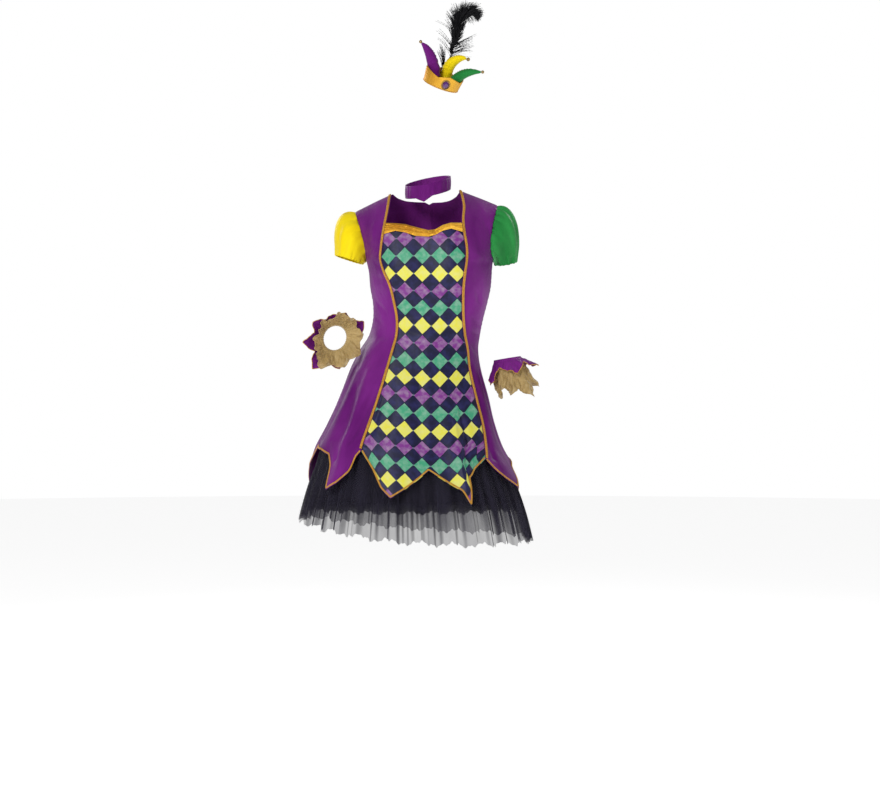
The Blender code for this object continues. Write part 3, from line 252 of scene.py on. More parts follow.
def satin(name, deep, light, roughness=0.44, sheen=0.03, metallic=0.0, crush=0.0022, crush_scale=30.0):
    tree = Finish(name)
    tone = tree.noise("UV", 9.0, 3.0, (1.0, 0.45, 1.0))
    fine = tree.noise("UV", 300.0, 1.0, (1.0, 0.25, 1.0))
    colour = tree.mix(tree.spread(tone, From_Min=0.34, From_Max=0.66), deep, light)
    slubbed = tree.node("VectorMath", operation="SCALE")
    tree.join(slubbed.inputs[0], colour)
    tree.join(slubbed.inputs["Scale"], tree.math("MULTIPLY_ADD", fine, 0.10, 0.95))
    tree.set(Base_Color=slubbed.outputs[0], Roughness=tree.math("MULTIPLY_ADD", fine, 0.14, roughness - 0.07),
             Metallic=metallic, Specular_IOR_Level=0.38, Specular_Tint=light, Sheen_Weight=sheen,
             Sheen_Roughness=0.35, Sheen_Tint=light)
    tree.bumps((tree.noise("UV", crush_scale, 3.0, (1.0, 0.55, 1.0)), crush),
               (tree.weave(WEAVE_PITCH), WEAVE_DEPTH))
    return tree.made


FINISHES = {
    "purple_satin": satin("purple_satin", (0.100, 0.008, 0.122), (0.198, 0.024, 0.230), crush=0.0028),
    "yellow_satin": satin("yellow_satin", (0.82, 0.60, 0.006), (0.90, 0.76, 0.018), crush=0.0028),
    "green_satin": satin("green_satin", (0.008, 0.115, 0.024), (0.050, 0.40, 0.095), crush=0.0032),
    "gold_satin": satin("gold_satin", (0.34, 0.125, 0.008), (0.88, 0.50, 0.060), 0.34, 0.02, 0.35, 0.0042,
                        46.0),
}

# %% [markdown]
# ### The diamond print
#
# The print is a lattice of upright diamonds that touch at their corners. Rows of purple, green and yellow follow
# each other, navy fills the diamonds between, and a thin dark line parts them. Two folded coordinates, added up,
# give the distance from a diamond's middle, so one comparison draws both sets.

# %% Diamond print
DIAMOND_ACROSS = 0.0427
DIAMOND_ALONG = 0.0441
FIRST_ROW = 0.0800
DIAMOND_GAP = 0.055
PRINT_COLOURS = [(0.190, 0.028, 0.235), (0.72, 0.68, 0.070), (0.050, 0.33, 0.180)]
PRINT_WASH = (0.60, 0.62, 0.58)
PRINT_NAVY = (0.006, 0.006, 0.034)
NAVY_WASH = (0.034, 0.032, 0.180)
PRINT_LINE = (0.004, 0.006, 0.022)
PRINT_CORNER = (0.22, 0.30, 0.36)


def harlequin_print(name):
    tree = Finish(name)
    across, along = tree.flat_cut()
    calc = tree.math

    def folded(place):
        """Distance from the middle of a repeat, 0 to 1."""
        return calc("MULTIPLY", calc("ABSOLUTE", calc("SUBTRACT", calc("FLOORED_MODULO", place, 1.0), 0.5)),
                    2.0)

    wobble = tree.noise("UV", 60.0, 2.0)
    column = calc("ADD", calc("DIVIDE", across, DIAMOND_ACROSS), 0.5)
    row = calc("ADD", calc("DIVIDE", calc("SUBTRACT", along, FIRST_ROW), DIAMOND_ALONG), 0.5)
    from_row = folded(row)
    away = calc("ADD", calc("ADD", folded(column), from_row), calc("MULTIPLY_ADD", wobble, 0.05, -0.025))
    colour_row = calc("FLOORED_MODULO", calc("FLOOR", row), 3.0)
    first = tree.mix(calc("GREATER_THAN", colour_row, 0.5), PRINT_COLOURS[0], PRINT_COLOURS[1])
    coloured = tree.mix(calc("GREATER_THAN", colour_row, 1.5), first, PRINT_COLOURS[2])
    wash = tree.spread(tree.noise("UV", 75.0, 3.0), From_Min=0.40, From_Max=0.72, To_Max=0.30)
    navy_wash = tree.spread(tree.noise("UV", 48.0, 3.0), From_Min=0.42, From_Max=0.70, To_Max=0.40)
    inside = calc("LESS_THAN", away, 1.0 - DIAMOND_GAP)
    outside = calc("GREATER_THAN", away, 1.0 + DIAMOND_GAP * 0.8)
    ground = tree.mix(outside, PRINT_LINE, tree.mix(navy_wash, PRINT_NAVY, NAVY_WASH))
    printed = tree.mix(inside, ground, tree.mix(wash, coloured, PRINT_WASH))
    on_line = calc("MULTIPLY", calc("SUBTRACT", 1.0, inside), calc("SUBTRACT", 1.0, outside))
    corner = calc("MULTIPLY", calc("MULTIPLY", calc("LESS_THAN", from_row, 0.075), on_line), 0.55)
    tree.set(Base_Color=tree.mix(corner, printed, PRINT_CORNER), Roughness=0.42, Specular_IOR_Level=0.26,
             Sheen_Weight=0.02, Sheen_Roughness=0.4)
    tree.bumps((tree.noise("UV", 24.0, 3.0, (1.0, 0.6, 1.0)), 0.0018), (tree.weave(WEAVE_PITCH), WEAVE_DEPTH))
    return tree.made


FINISHES["harlequin_print"] = harlequin_print("harlequin_print")

# %% [markdown]
# ### Braid, organza, net, feather, metal and gem
#
# The braid is metal-wrapped thread, so it is partly metallic. Organza and net let light through between their
# threads: that is an alpha below one, and two layers of cloth then look darker than one, as they do in life.

# %% Other finishes
def toned(name, scale, dark, light, detail=2.0, **sockets):
    """A finish whose colour wanders between two, with its tone to use again."""
    tree = Finish(name)
    tone = tree.noise("Object", scale, detail)
    tree.set(Base_Color=tree.mix(tone, dark, light), **sockets)
    return tree, tone


def open_cloth(name, dark, light, alpha, low_alpha, sheen, roughness, pitch, folded=0.0):
    """Organza or net: it is thinner or denser from place to place, and closes where its fold attribute says so."""
    tree = Finish(name)
    tone = tree.noise("UV", 22.0, 3.0, (1.0, 0.3, 1.0))
    closed = tree.spread(tone, From_Min=0.3, From_Max=0.7, To_Min=low_alpha, To_Max=alpha)
    if folded:
        fold = tree.node("Attribute", attribute_name="fold").outputs["Fac"]
        closed = tree.math("MINIMUM", tree.math("MULTIPLY_ADD", fold, folded, closed), 1.0)
    tree.set(Base_Color=tree.mix(tone, dark, light), Alpha=closed, Roughness=roughness,
             Specular_IOR_Level=0.25,
             Sheen_Weight=sheen, Sheen_Roughness=0.5, Sheen_Tint=light)
    tree.bumps((tree.weave(pitch), 0.00005))
    return tree.made


braid, tone = toned("gold_braid", 420.0, (0.24, 0.085, 0.006), (0.86, 0.46, 0.050), Metallic=0.35,
                    Roughness=0.38)
braid.bumps((braid.noise("Object", 1500.0, 1.0), 0.0003))
metal, tone = toned("gold_metal", 260.0, (0.16, 0.10, 0.035), (0.44, 0.31, 0.12), 3.0, Metallic=0.85)
metal.set(Roughness=metal.math("MULTIPLY_ADD", tone, 0.25, 0.28))
feather, tone = toned("black_feather", 60.0, (0.002, 0.002, 0.003), (0.009, 0.009, 0.012), Roughness=0.8,
                      Specular_IOR_Level=0.3)
gem_glass, tone = toned("purple_gem", 180.0, (0.030, 0.002, 0.065), (0.11, 0.01, 0.20), Roughness=0.06,
                        Coat_Weight=0.8, Coat_Roughness=0.03)
FINISHES.update({
    "gold_braid": braid.made,
    "gold_organza": open_cloth("gold_organza", (0.30, 0.20, 0.065), (0.64, 0.46, 0.20), 0.88, 0.66, 0.1,
                               0.4, 0.0009),
    "black_net": open_cloth("black_net", (0.0012, 0.0012, 0.0015), (0.004, 0.004, 0.0055),
                            0.70, 0.45, 0.0, 1.0, 0.0016, 0.60),
    "sheer_net": open_cloth("sheer_net", (0.006, 0.005, 0.010), (0.024, 0.021, 0.040),
                            0.60, 0.40, 0.0, 0.9, 0.0016, 0.60),
    "black_feather": feather.made,
    "gold_metal": metal.made,
    "purple_gem": gem_glass.made,
})
print("finishes", len(FINISHES))

# %% [markdown]
# ## From a flat grid to worn cloth
#
# A pattern cutter thinks of a flat piece and of the body it ends up on. A grid of vertices works the same way:
# each vertex has a place in the flat cut, kept as a UV, and a place on the body, which is its position.

# %% Cloth helpers
def arc(points, axis, flat_only=False):
    """Running length of a grid's lines along one axis."""
    steps = np.diff(points[..., :2] if flat_only else points, axis=axis)
    lengths = np.linalg.norm(steps, axis=-1)
    start = np.zeros_like(np.take(lengths, [0], axis=axis))
    return np.cumsum(np.concatenate([start, lengths], axis=axis), axis=axis)


def normals(points, wrap=False):
    """Outward directions of a grid whose columns run to the right and rows run up."""
    if wrap:
        across = np.roll(points[:, :-1], -1, axis=1) - np.roll(points[:, :-1], 1, axis=1)
        across = np.concatenate([across, across[:, :1]], axis=1)
    else:
        across = np.gradient(points, axis=1)
    out = np.cross(across, np.gradient(points, axis=0))
    return out / np.maximum(np.linalg.norm(out, axis=-1, keepdims=True), 1e-12)


def simple_cut(points):
    """Flat coordinates of a grid: across by its middle row, along by each column."""
    across = arc(points, 1)[points.shape[0] // 2]
    return np.stack([np.broadcast_to(across, points.shape[:2]), arc(points, 0)], axis=-1)


def bent_grid(points, cut, wrap=False, fold=None):
    """A bmesh grid with its vertices moved to their places and its flat cut kept as a UV map."""
    rows, columns = points.shape[0] - 1, points.shape[1] - 1
    bm = bmesh.new()
    bmesh.ops.create_grid(bm, x_segments=columns, y_segments=rows, size=0.5)
    layer = bm.loops.layers.uv.new("flat_cut")
    bm.verts.ensure_lookup_table()
    spots = [(round((v.co.y + 0.5) * rows), round((v.co.x + 0.5) * columns)) for v in bm.verts]
    for face in bm.faces:
        for loop in face.loops:
            loop[layer].uv = cut[spots[loop.vert.index]]
    shade = None if fold is None else bm.verts.layers.float.new("fold")
    for vert, spot in zip(bm.verts, spots):
        vert.co = points[spot]
        if shade:
            vert[shade] = fold[spot]
    if wrap:
        bmesh.ops.remove_doubles(bm, verts=bm.verts, dist=1e-6)
    return bm


def cloth(name, points, slot, nodes, cut=None, thickness=0.0009, wrap=False, fold=None):
    """Makes a sheet of cloth from its grid with its finish, and says what it stands for."""
    cut = simple_cut(points) if cut is None else cut
    piece = new_piece(name, bent_grid(points, cut, wrap, fold), FINISHES[slot])
    if thickness:
        solid = piece.modifiers.new("thickness", "SOLIDIFY")
        solid.thickness = thickness
        solid.offset = 0.0
    settle(piece, slot, *nodes)
    return piece


# %% [markdown]
# ## The dress
#
# The body of the dress is a stack of level sections, each an oval that is wider than it is deep. Heights and
# half widths are named in a table, a smooth curve joins the rows, and above the bust line the surface bends over
# the shoulders. These are the same sections as the solids', so the cloth lies on them.

# %% Sections of the dress
BUST_HEIGHT = -0.185
BUST_ANGLE = 36.0
BUST_SPREAD = 22.0
BUST_FULLNESS = 0.020
BUST_FADE = 0.042
HIP_SHELF = -0.600
SHOULDER_ARC = 0.220
FLATTEN = 0.22
Section = namedtuple("Section", "height centre half_width front back twist yellow_seam green_seam")
DRESS_SECTIONS = table(
    Section,
    (-0.185, 0.0115, 0.153, 0.122, 0.104, -6.0, -0.100, 0.093),
    (-0.220, 0.0110, 0.150, 0.118, 0.102, -5.0, -0.084, 0.089),
    (-0.260, 0.0100, 0.142, 0.104, 0.096, -2.0, -0.074, 0.088),
    (-0.300, 0.0050, 0.137, 0.096, 0.092, 2.5, -0.067, 0.089),
    (-0.340, -0.0040, 0.138, 0.096, 0.094, 7.0, -0.068, 0.093),
    (-0.375, -0.0170, 0.147, 0.104, 0.104, 9.5, -0.077, 0.100),
    (-0.425, -0.0260, 0.163, 0.120, 0.124, 10.5, -0.091, 0.105),
    (-0.500, -0.0310, 0.188, 0.146, 0.155, 10.5, -0.113, 0.121),
    (-0.560, -0.0360, 0.207, 0.168, 0.178, 10.0, -0.133, 0.134),
    (-0.615, -0.0400, 0.228, 0.188, 0.199, 9.5, -0.151, 0.141),
    (-0.660, -0.0340, 0.246, 0.205, 0.215, 9.0, -0.160, 0.145),
    (-0.715, -0.0290, 0.275, 0.226, 0.238, 9.0, -0.170, 0.150),
    (-0.780, -0.0290, 0.294, 0.243, 0.254, 9.0, -0.180, 0.155),
)
NeckEdge = namedtuple("NeckEdge", "height yellow_seam green_seam")
NECK_EDGES = table(
    NeckEdge,
    (-0.185, -0.100, 0.093), (-0.155, -0.108, 0.097), (-0.125, -0.106, 0.096), (-0.090, -0.101, 0.090),
    (-0.060, -0.096, 0.088), (-0.025, -0.090, 0.090), (0.020, -0.085, 0.080),
)
Neckline = namedtuple("Neckline", "x height up down")
NECKLINE = table(
    Neckline,
    (-0.106, -0.0830, 0.0125, 0.0130), (-0.074, -0.0790, 0.0090, 0.0090), (-0.048, -0.0815, 0.0100, 0.0100),
    (-0.020, -0.0894, 0.0107, 0.0107), (0.010, -0.0948, 0.0080, 0.0080), (0.026, -0.0918, 0.0065, 0.0070),
    (0.046, -0.0813, 0.0065, 0.0070), (0.066, -0.0766, 0.0070, 0.0075), (0.096, -0.0810, 0.0110, 0.0110),
)
Edge = namedtuple("Edge", "rise angle")
ARMHOLE = table(
    Edge,
    (0.0, 90.0), (0.20, 90.0), (0.235, 80.0), (0.30, 73.0), (0.45, 67.5), (0.70, 63.5), (1.0, 60.0),
)
BACK_NECK = table(
    Edge,
    (0.0, 0.0), (0.80, 0.0), (0.835, 11.0), (0.88, 17.0), (0.94, 21.5), (1.0, 24.0),
)
Flute = namedtuple("Flute", "angle width reach")
FLUTES = table(
    Flute,
    (-64.0, 11.0, 0.010), (-41.0, 9.0, 0.013), (-11.0, 11.0, 0.006), (28.5, 6.5, 0.008),
    (63.0, 10.0, 0.008), (92.0, 9.0, 0.003), (120.0, 12.0, 0.013), (166.0, 12.0, 0.013),
    (-148.0, 12.0, 0.013), (-104.0, 12.0, 0.013),
)
FLUTE_TOP = -0.400
SHOULDER_PEAK = 0.058
SHOULDER_FALL = 0.45
SHOULDER_ROUND = 0.03
SHOULDER_TILT = 0.05
SHOULDER_CENTRE = 0.001
SHOULDER_HALF_WIDTH = 0.205
SHOULDER_SPREAD_POWER = 1.4
NECK_POINT_HEIGHT = 0.012


# %% Curves through the tables
def smooth_curve(rows, key, column, places):
    """A smooth curve through a table's rows, read at many places."""
    rows = sorted(rows, key=lambda row: getattr(row, key))
    keys = np.array([getattr(row, key) for row in rows], float)
    values = np.array([getattr(row, column) for row in rows], float)
    order = np.arange(len(rows))
    after, before = np.minimum(order + 1, len(rows) - 1), np.maximum(order - 1, 0)
    slopes = (values[after] - values[before]) / (keys[after] - keys[before])
    places = np.clip(places, keys[0], keys[-1])
    i = np.clip(np.searchsorted(keys, places) - 1, 0, len(rows) - 2)
    span = keys[i + 1] - keys[i]
    t = (places - keys[i]) / span
    return (
        values[i] * (2 * t**3 - 3 * t**2 + 1)
        + values[i + 1] * (3 * t**2 - 2 * t**3)
        + slopes[i] * span * (t**3 - 2 * t**2 + t)
        + slopes[i + 1] * span * (t**3 - t**2)
    )


def straight_curve(rows, key, column, places):
    return np.interp(places, [getattr(row, key) for row in rows], [getattr(row, column) for row in rows])


# %% The surface of the dress
def flute_reach(angle, height):
    """How far the skirt's flutes stand out."""
    depth = np.clip((FLUTE_TOP - height) / (FLUTE_TOP - HIP_SHELF), 0.0, 1.3)
    total = 0.0
    for flute in FLUTES:
        away = (angle - flute.angle + 180.0) % 360.0 - 180.0
        total = total + flute.reach * np.exp(-((away / flute.width) ** 2))
    return total * depth**1.5


def shoulder_height(x):
    return SHOULDER_PEAK - SHOULDER_FALL * np.hypot(x, SHOULDER_ROUND) + SHOULDER_TILT * x


def level_of(height, x):
    """Metres below the bust line, or along the shoulder arc above it."""
    rise = np.clip((height - BUST_HEIGHT) / (shoulder_height(x) - BUST_HEIGHT), 0.0, 1.0)
    return np.where(height <= BUST_HEIGHT, height - BUST_HEIGHT,
                    SHOULDER_ARC * np.arcsin(rise) / (math.pi / 2))


def rise_of(level):
    return np.sin(np.clip(level / SHOULDER_ARC, 0.0, 1.0) * math.pi / 2)


def cut_depth(reach, turn):
    return reach * np.cos(turn) * (1.0 + FLATTEN * np.sin(turn) ** 2)


def section(column, level):
    return smooth_curve(DRESS_SECTIONS, "height", column, np.minimum(BUST_HEIGHT + level, BUST_HEIGHT))


def dress_surface(level, angle):
    """Places on the dress, for levels and for angles from the front towards the green sleeve."""
    turn = np.radians(angle)
    facing = np.cos(turn) > 0
    rise = rise_of(level)
    bend = np.clip(level / SHOULDER_ARC, 0.0, 1.0) * math.pi / 2
    height = BUST_HEIGHT + level
    spread = rise**SHOULDER_SPREAD_POWER
    half_width = section("half_width", level)
    half_width = half_width + (SHOULDER_HALF_WIDTH - half_width) * spread
    centre = section("centre", level)
    centre = centre + (SHOULDER_CENTRE - centre) * rise
    reach = np.where(facing, section("front", level), section("back", level))
    depth = cut_depth(reach, turn)
    fade = np.where(level <= 0, np.exp(-((level / BUST_FADE) ** 2)), np.cos(bend) ** 2)
    side = np.abs(angle - section("twist", level)) - BUST_ANGLE
    cup = BUST_FULLNESS * np.exp(-((side / BUST_SPREAD) ** 2)) * fade * np.cos(turn)
    depth = depth + np.where(facing, cup, 0.0)
    flute = flute_reach(angle, height)
    x = centre + (half_width + flute) * np.sin(turn)
    y = -depth * np.cos(bend) - flute * np.cos(turn)
    z = np.where(level <= 0, height, BUST_HEIGHT + (shoulder_height(x) - BUST_HEIGHT) * rise)
    return np.stack([x, y, z], axis=-1)


def twist_at(level):
    return section("twist", level) * (1.0 - rise_of(level))


def angle_at_x(level, x):
    rise = rise_of(level)
    half_width, centre = section("half_width", level), section("centre", level)
    half_width = half_width + (SHOULDER_HALF_WIDTH - half_width) * rise**SHOULDER_SPREAD_POWER
    centre = centre + (SHOULDER_CENTRE - centre) * rise
    return np.degrees(np.arcsin(np.clip((x - centre) / half_width, -0.99, 0.99)))


def princess_angle(level, column):
    """The angle of a princess seam, or of the neck edge above it. Below the seam it stays as it ends."""
    level = np.maximum(level, SEAM_ENDS[column] - BUST_HEIGHT)
    neck_height = BUST_HEIGHT + (NECK_POINT_HEIGHT - BUST_HEIGHT) * rise_of(level)
    above = smooth_curve(NECK_EDGES, "height", column, neck_height)
    return angle_at_x(level, np.where(level <= 0, section(column, level), above))


def side_angle(level, side, back=False):
    edge = straight_curve(ARMHOLE, "rise", "angle", rise_of(level))
    return side * (180.0 - edge if back else edge) + twist_at(level)


def centre_back_angle(level, side):
    return side * (180.0 - straight_curve(BACK_NECK, "rise", "angle", rise_of(level))) + twist_at(level)


# %% [markdown]
# ### Panels
#
# The dress is cut in five panels: the printed front, two purple side fronts and two backs that meet in a plain
# centre seam. Each panel runs between two seams and ends in a pointed hem. The rows below the hip follow the
# points, and the rows above are level, so that the print's rows stay level too.

# %% Hems
HemPoint = namedtuple("HemPoint", "angle height")
SEAM_ENDS = {"yellow_seam": -0.622, "green_seam": -0.642}
YELLOW_SIDE_HEM = table(
    HemPoint,
    (-80.5, -0.615), (-63.0, -0.622), (-54.0, -0.634), (-49.5, -0.664), (-46.5, -0.716), (-40.0, -0.699),
    (-35.0, -0.674), (-32.8, -0.640), (-29.7, -0.622),
)
FRONT_HEM = table(
    HemPoint,
    (-29.7, -0.622), (-21.0, -0.672), (-16.0, -0.711), (-11.0, -0.733), (-3.0, -0.709), (9.3, -0.669),
    (18.0, -0.698), (24.5, -0.718), (27.6, -0.753), (30.0, -0.690), (37.0, -0.668), (49.1, -0.642),
)
GREEN_SIDE_HEM = table(
    HemPoint,
    (49.1, -0.642), (52.5, -0.668), (57.0, -0.692), (62.5, -0.712), (70.0, -0.690), (80.0, -0.666),
    (99.5, -0.645),
)
GREEN_BACK_HEM = table(
    HemPoint,
    (99.5, -0.645), (110.0, -0.690), (120.0, -0.742), (131.0, -0.690), (143.0, -0.655), (155.0, -0.695),
    (166.0, -0.745), (177.0, -0.705), (189.3, -0.668),
)
YELLOW_BACK_HEM = table(
    HemPoint,
    (-170.7, -0.668), (-159.0, -0.700), (-148.0, -0.742), (-139.0, -0.690), (-131.0, -0.655),
    (-122.0, -0.690), (-114.0, -0.735), (-103.0, -0.670), (-92.0, -0.638), (-80.5, -0.615),
)
FRONT_TOP_LEFT, FRONT_TOP_RIGHT = NECK_EDGES[2].yellow_seam, NECK_EDGES[2].green_seam


def front_top(share):
    x = FRONT_TOP_LEFT + (FRONT_TOP_RIGHT - FRONT_TOP_LEFT) * share
    return level_of(straight_curve(NECKLINE, "x", "height", x), x)


def shoulder_top(share):
    return np.full_like(share, SHOULDER_ARC - 0.0005)


def yellow_princess(level):
    return princess_angle(level, "yellow_seam")


def green_princess(level):
    return princess_angle(level, "green_seam")


Panel = namedtuple("Panel", "name node slot hem start end top columns")
PANELS = [
    Panel("front_cloth", "front_panel", "harlequin_print", FRONT_HEM, yellow_princess, green_princess,
          front_top, 110),
    Panel("side_yellow_cloth", "side_front_yellow", "purple_satin", YELLOW_SIDE_HEM,
          lambda level: side_angle(level, -1), yellow_princess, shoulder_top, 72),
    Panel("side_green_cloth", "side_front_green", "purple_satin", GREEN_SIDE_HEM, green_princess,
          lambda level: side_angle(level, 1), shoulder_top, 72),
    Panel("back_green_cloth", "back_green", "purple_satin", GREEN_BACK_HEM,
          lambda level: side_angle(level, 1, back=True), lambda level: centre_back_angle(level, 1),
          shoulder_top, 84),
    Panel("back_yellow_cloth", "back_yellow", "purple_satin", YELLOW_BACK_HEM,
          lambda level: centre_back_angle(level, -1), lambda level: side_angle(level, -1, back=True),
          shoulder_top, 84),
]
TAIL_ROWS = 26
BODY_ROWS = 116

# %% [markdown]
# ### Creases
#
# Satin that is pulled over a body has a few long soft folds and some short pulls at the waist and the bust. Each
# crease is a line between two places, given by angle and height, with a width and a depth: below zero it is a
# trough, above zero a ridge. The hidden sides get creases like those that show.

# %% Creases of the dress
Crease = namedtuple("Crease", "angle height end_angle end_height width depth")
CREASES = table(
    Crease,
    (-54.0, -0.475, -45.5, -0.640, 0.018, -0.0085), (-31.6, -0.480, -38.0, -0.600, 0.014, -0.0065),
    (-43.0, -0.430, -41.0, -0.660, 0.017, 0.0050), (-66.0, -0.420, -70.0, -0.600, 0.016, -0.0060),
    (-72.0, -0.360, -60.0, -0.420, 0.010, -0.0030), (-58.0, -0.335, -40.0, -0.350, 0.008, -0.0030),
    (-70.0, -0.300, -48.0, -0.322, 0.007, -0.0028), (-66.0, -0.262, -50.0, -0.285, 0.008, -0.0026),
    (-64.0, -0.205, -48.0, -0.200, 0.009, -0.0032), (-60.0, -0.165, -46.0, -0.178, 0.008, -0.0026),
    (-56.0, -0.120, -47.0, -0.150, 0.010, -0.0024), (-52.0, -0.100, -44.0, -0.060, 0.010, 0.0020),
    (-22.0, -0.330, -4.0, -0.342, 0.007, -0.0018), (-26.0, -0.300, -10.0, -0.290, 0.008, -0.0018),
    (38.0, -0.315, 20.0, -0.330, 0.007, -0.0018), (40.0, -0.345, 26.0, -0.352, 0.007, -0.0018),
    (-20.0, -0.420, -16.0, -0.600, 0.016, -0.0030), (4.0, -0.450, 6.0, -0.640, 0.016, -0.0032),
    (36.0, -0.520, 30.4, -0.690, 0.0065, -0.0060), (30.0, -0.540, 26.6, -0.725, 0.0065, 0.0030),
    (-12.0, -0.230, 0.0, -0.262, 0.012, -0.0016), (24.0, -0.226, 12.0, -0.262, 0.012, -0.0016),
    (40.0, -0.172, 66.0, -0.165, 0.006, -0.0032), (42.0, -0.150, 60.0, -0.140, 0.007, 0.0016),
    (50.0, -0.235, 62.0, -0.262, 0.009, -0.0028), (52.0, -0.300, 78.0, -0.318, 0.008, -0.0032),
    (56.0, -0.330, 80.0, -0.340, 0.008, -0.0030), (62.0, -0.365, 84.0, -0.385, 0.010, -0.0030),
    (58.0, -0.420, 56.0, -0.640, 0.013, -0.0065), (78.0, -0.430, 82.0, -0.630, 0.016, -0.0070),
    (52.0, -0.480, 50.5, -0.600, 0.008, 0.0020), (64.0, -0.100, 50.0, -0.060, 0.012, -0.0020),
    (104.0, -0.300, 124.0, -0.318, 0.008, -0.0030), (108.0, -0.340, 132.0, -0.335, 0.008, -0.0034),
    (150.0, -0.300, 172.0, -0.322, 0.009, -0.0026), (112.0, -0.262, 128.0, -0.245, 0.010, -0.0026),
    (110.0, -0.420, 107.0, -0.640, 0.016, -0.0055), (140.0, -0.430, 143.0, -0.620, 0.018, -0.0048),
    (184.0, -0.450, 186.0, -0.640, 0.016, -0.0060), (126.0, -0.120, 140.0, -0.150, 0.012, -0.0022),
    (160.0, -0.100, 148.0, -0.160, 0.014, 0.0020), (-104.0, -0.312, -126.0, -0.325, 0.008, -0.0032),
    (-100.0, -0.350, -122.0, -0.342, 0.008, -0.0030), (-140.0, -0.295, -164.0, -0.312, 0.009, -0.0026),
    (-112.0, -0.250, -130.0, -0.262, 0.010, -0.0026), (-92.0, -0.430, -90.0, -0.600, 0.014, -0.0060),
    (-125.0, -0.430, -126.0, -0.620, 0.018, -0.0042), (-164.0, -0.440, -162.0, -0.640, 0.016, -0.0065),
    (-126.0, -0.130, -140.0, -0.145, 0.012, -0.0022), (-156.0, -0.105, -150.0, -0.165, 0.014, 0.0020),
)
Ripple = namedtuple("Ripple", "across along phase height")
RIPPLES = table(
    Ripple,
    (31.0, 9.0, 0.4, 0.00055), (-19.0, 23.0, 1.9, 0.00050), (57.0, 15.0, 3.1, 0.00026),
    (-44.0, 47.0, 5.0, 0.00022),
)
CREASE_ROOM = 0.012
PUCKER_PITCH = 0.013
PUCKER_DEPTH = 0.0004
SEAM_SINK = 0.0005


def fold_height(cut, lines):
    """Height of soft ridges and troughs over the flat cut. Each line is two ends, a width and a depth."""
    total = np.zeros(cut.shape[:2])
    for start, end, width, depth in lines:
        run = end - start
        t = np.clip(((cut - start) @ run) / max(run @ run, 1e-9), 0.0, 1.0)
        away = np.linalg.norm(cut - start - t[..., None] * run, axis=-1)
        taper = 0.55 + 0.45 * np.sin(math.pi * t)
        total += depth * taper * np.exp(-((away / (width * taper)) ** 2))
    return total


def creases_on(angle, height, cut):
    """The creases whose both ends lie on a panel, as lines of its flat cut."""
    lines = []
    for crease in CREASES:
        ends = []
        for a, h in ((crease.angle, crease.height), (crease.end_angle, crease.end_height)):
            miss = np.hypot(((angle - a + 180) % 360 - 180) * 0.0030, height - h)
            spot = np.unravel_index(miss.argmin(), miss.shape)
            ends.append((miss[spot], cut[spot]))
        if ends[0][0] < 0.03 and ends[1][0] < 0.03:
            lines.append((ends[0][1], ends[1][1], crease.width, crease.depth))
    return lines


def ripples(cut):
    return sum(r.height * np.sin(cut[..., 0] * r.across + cut[..., 1] * r.along + r.phase) for r in RIPPLES)


# %% Cut and hang the panels
FRONT_GRAIN_X = -0.008
GRAIN_SAG = 0.006
panel_grids = {}
for panel in PANELS:
    share = np.linspace(0.0, 1.0, panel.columns + 1)
    hem_angle = panel.hem[0].angle + (panel.hem[-1].angle - panel.hem[0].angle) * share
    low = straight_curve(panel.hem, "angle", "height", hem_angle) - BUST_HEIGHT
    shelf = HIP_SHELF - BUST_HEIGHT
    tail = low + (shelf - low) * np.linspace(0.0, 1.0, TAIL_ROWS + 1)[:-1, None]
    body = shelf + (panel.top(share) - shelf) * np.linspace(0.0, 1.0, BODY_ROWS + 1)[:, None]
    level = np.concatenate([tail, body])
    start, end = panel.start(level), panel.end(level)
    angle = start + (end - start) * share
    points = dress_surface(level, angle)
    across = arc(points, 1, flat_only=True)
    middle = across[:, -1:] / 2
    if panel.node == "front_panel":
        middle = np.array([[np.interp(FRONT_GRAIN_X, line[:, 0], run)] for line, run in zip(points, across)])
    along = arc(points, 0)
    bust = np.array([np.interp(0.0, line, run) for line, run in zip(level.T, along.T)])
    sag = GRAIN_SAG * (1 - (2 * share - 1) ** 2) * np.clip((-level - 0.20) / 0.20, 0.0, 1.0)
    cut = np.stack([across - middle, along - bust + sag], axis=-1)
    edge = np.minimum(across, across[:, -1:] - across)
    room = np.clip(edge / CREASE_ROOM, 0.0, 1.0)
    lift = fold_height(cut, creases_on(angle, points[..., 2], cut)) + ripples(cut)
    lift = lift * room * room * (3 - 2 * room)
    wander = np.sin(cut[..., 1] * 2 * math.pi / PUCKER_PITCH + 2.0 * np.sin(cut[..., 1] * 41.0))
    lift = lift + PUCKER_DEPTH * wander * np.exp(-((edge - 0.006) / 0.005) ** 2)
    lift = lift - SEAM_SINK * np.exp(-((edge / 0.0022) ** 2))
    out = normals(points)
    hung = points + out * lift[..., None]
    cloth(panel.name, hung, panel.slot, [panel.node], cut)
    panel_grids[panel.node] = (points, out, along, across)

# %% [markdown]
# ## Gold braid
#
# A flat metallic plait covers each princess seam and each hem. Three strands cross in turn: seen from above each
# one swings from side to side once a pitch, and it dips twice. A curve with a round bevel draws each strand.

# %% Plaits
BRAID_OUT = 0.0013
SEAM_BRAID_WIDTH = 0.0075
HEM_BRAID_WIDTH = 0.0046
HEM_BRAID_START = 0.0006
BRAID_END_GAP = 0.0003
SEAM_PITCH = 0.0100
HEM_PITCH = 0.0072
STRAND_SHARE = 0.21
PLAIT_STEPS = 10


def run_length(line):
    return np.concatenate([[0.0], np.cumsum(np.linalg.norm(np.diff(line, axis=0), axis=1))])


def unit(vectors):
    return vectors / np.maximum(np.linalg.norm(vectors, axis=-1, keepdims=True), 1e-12)


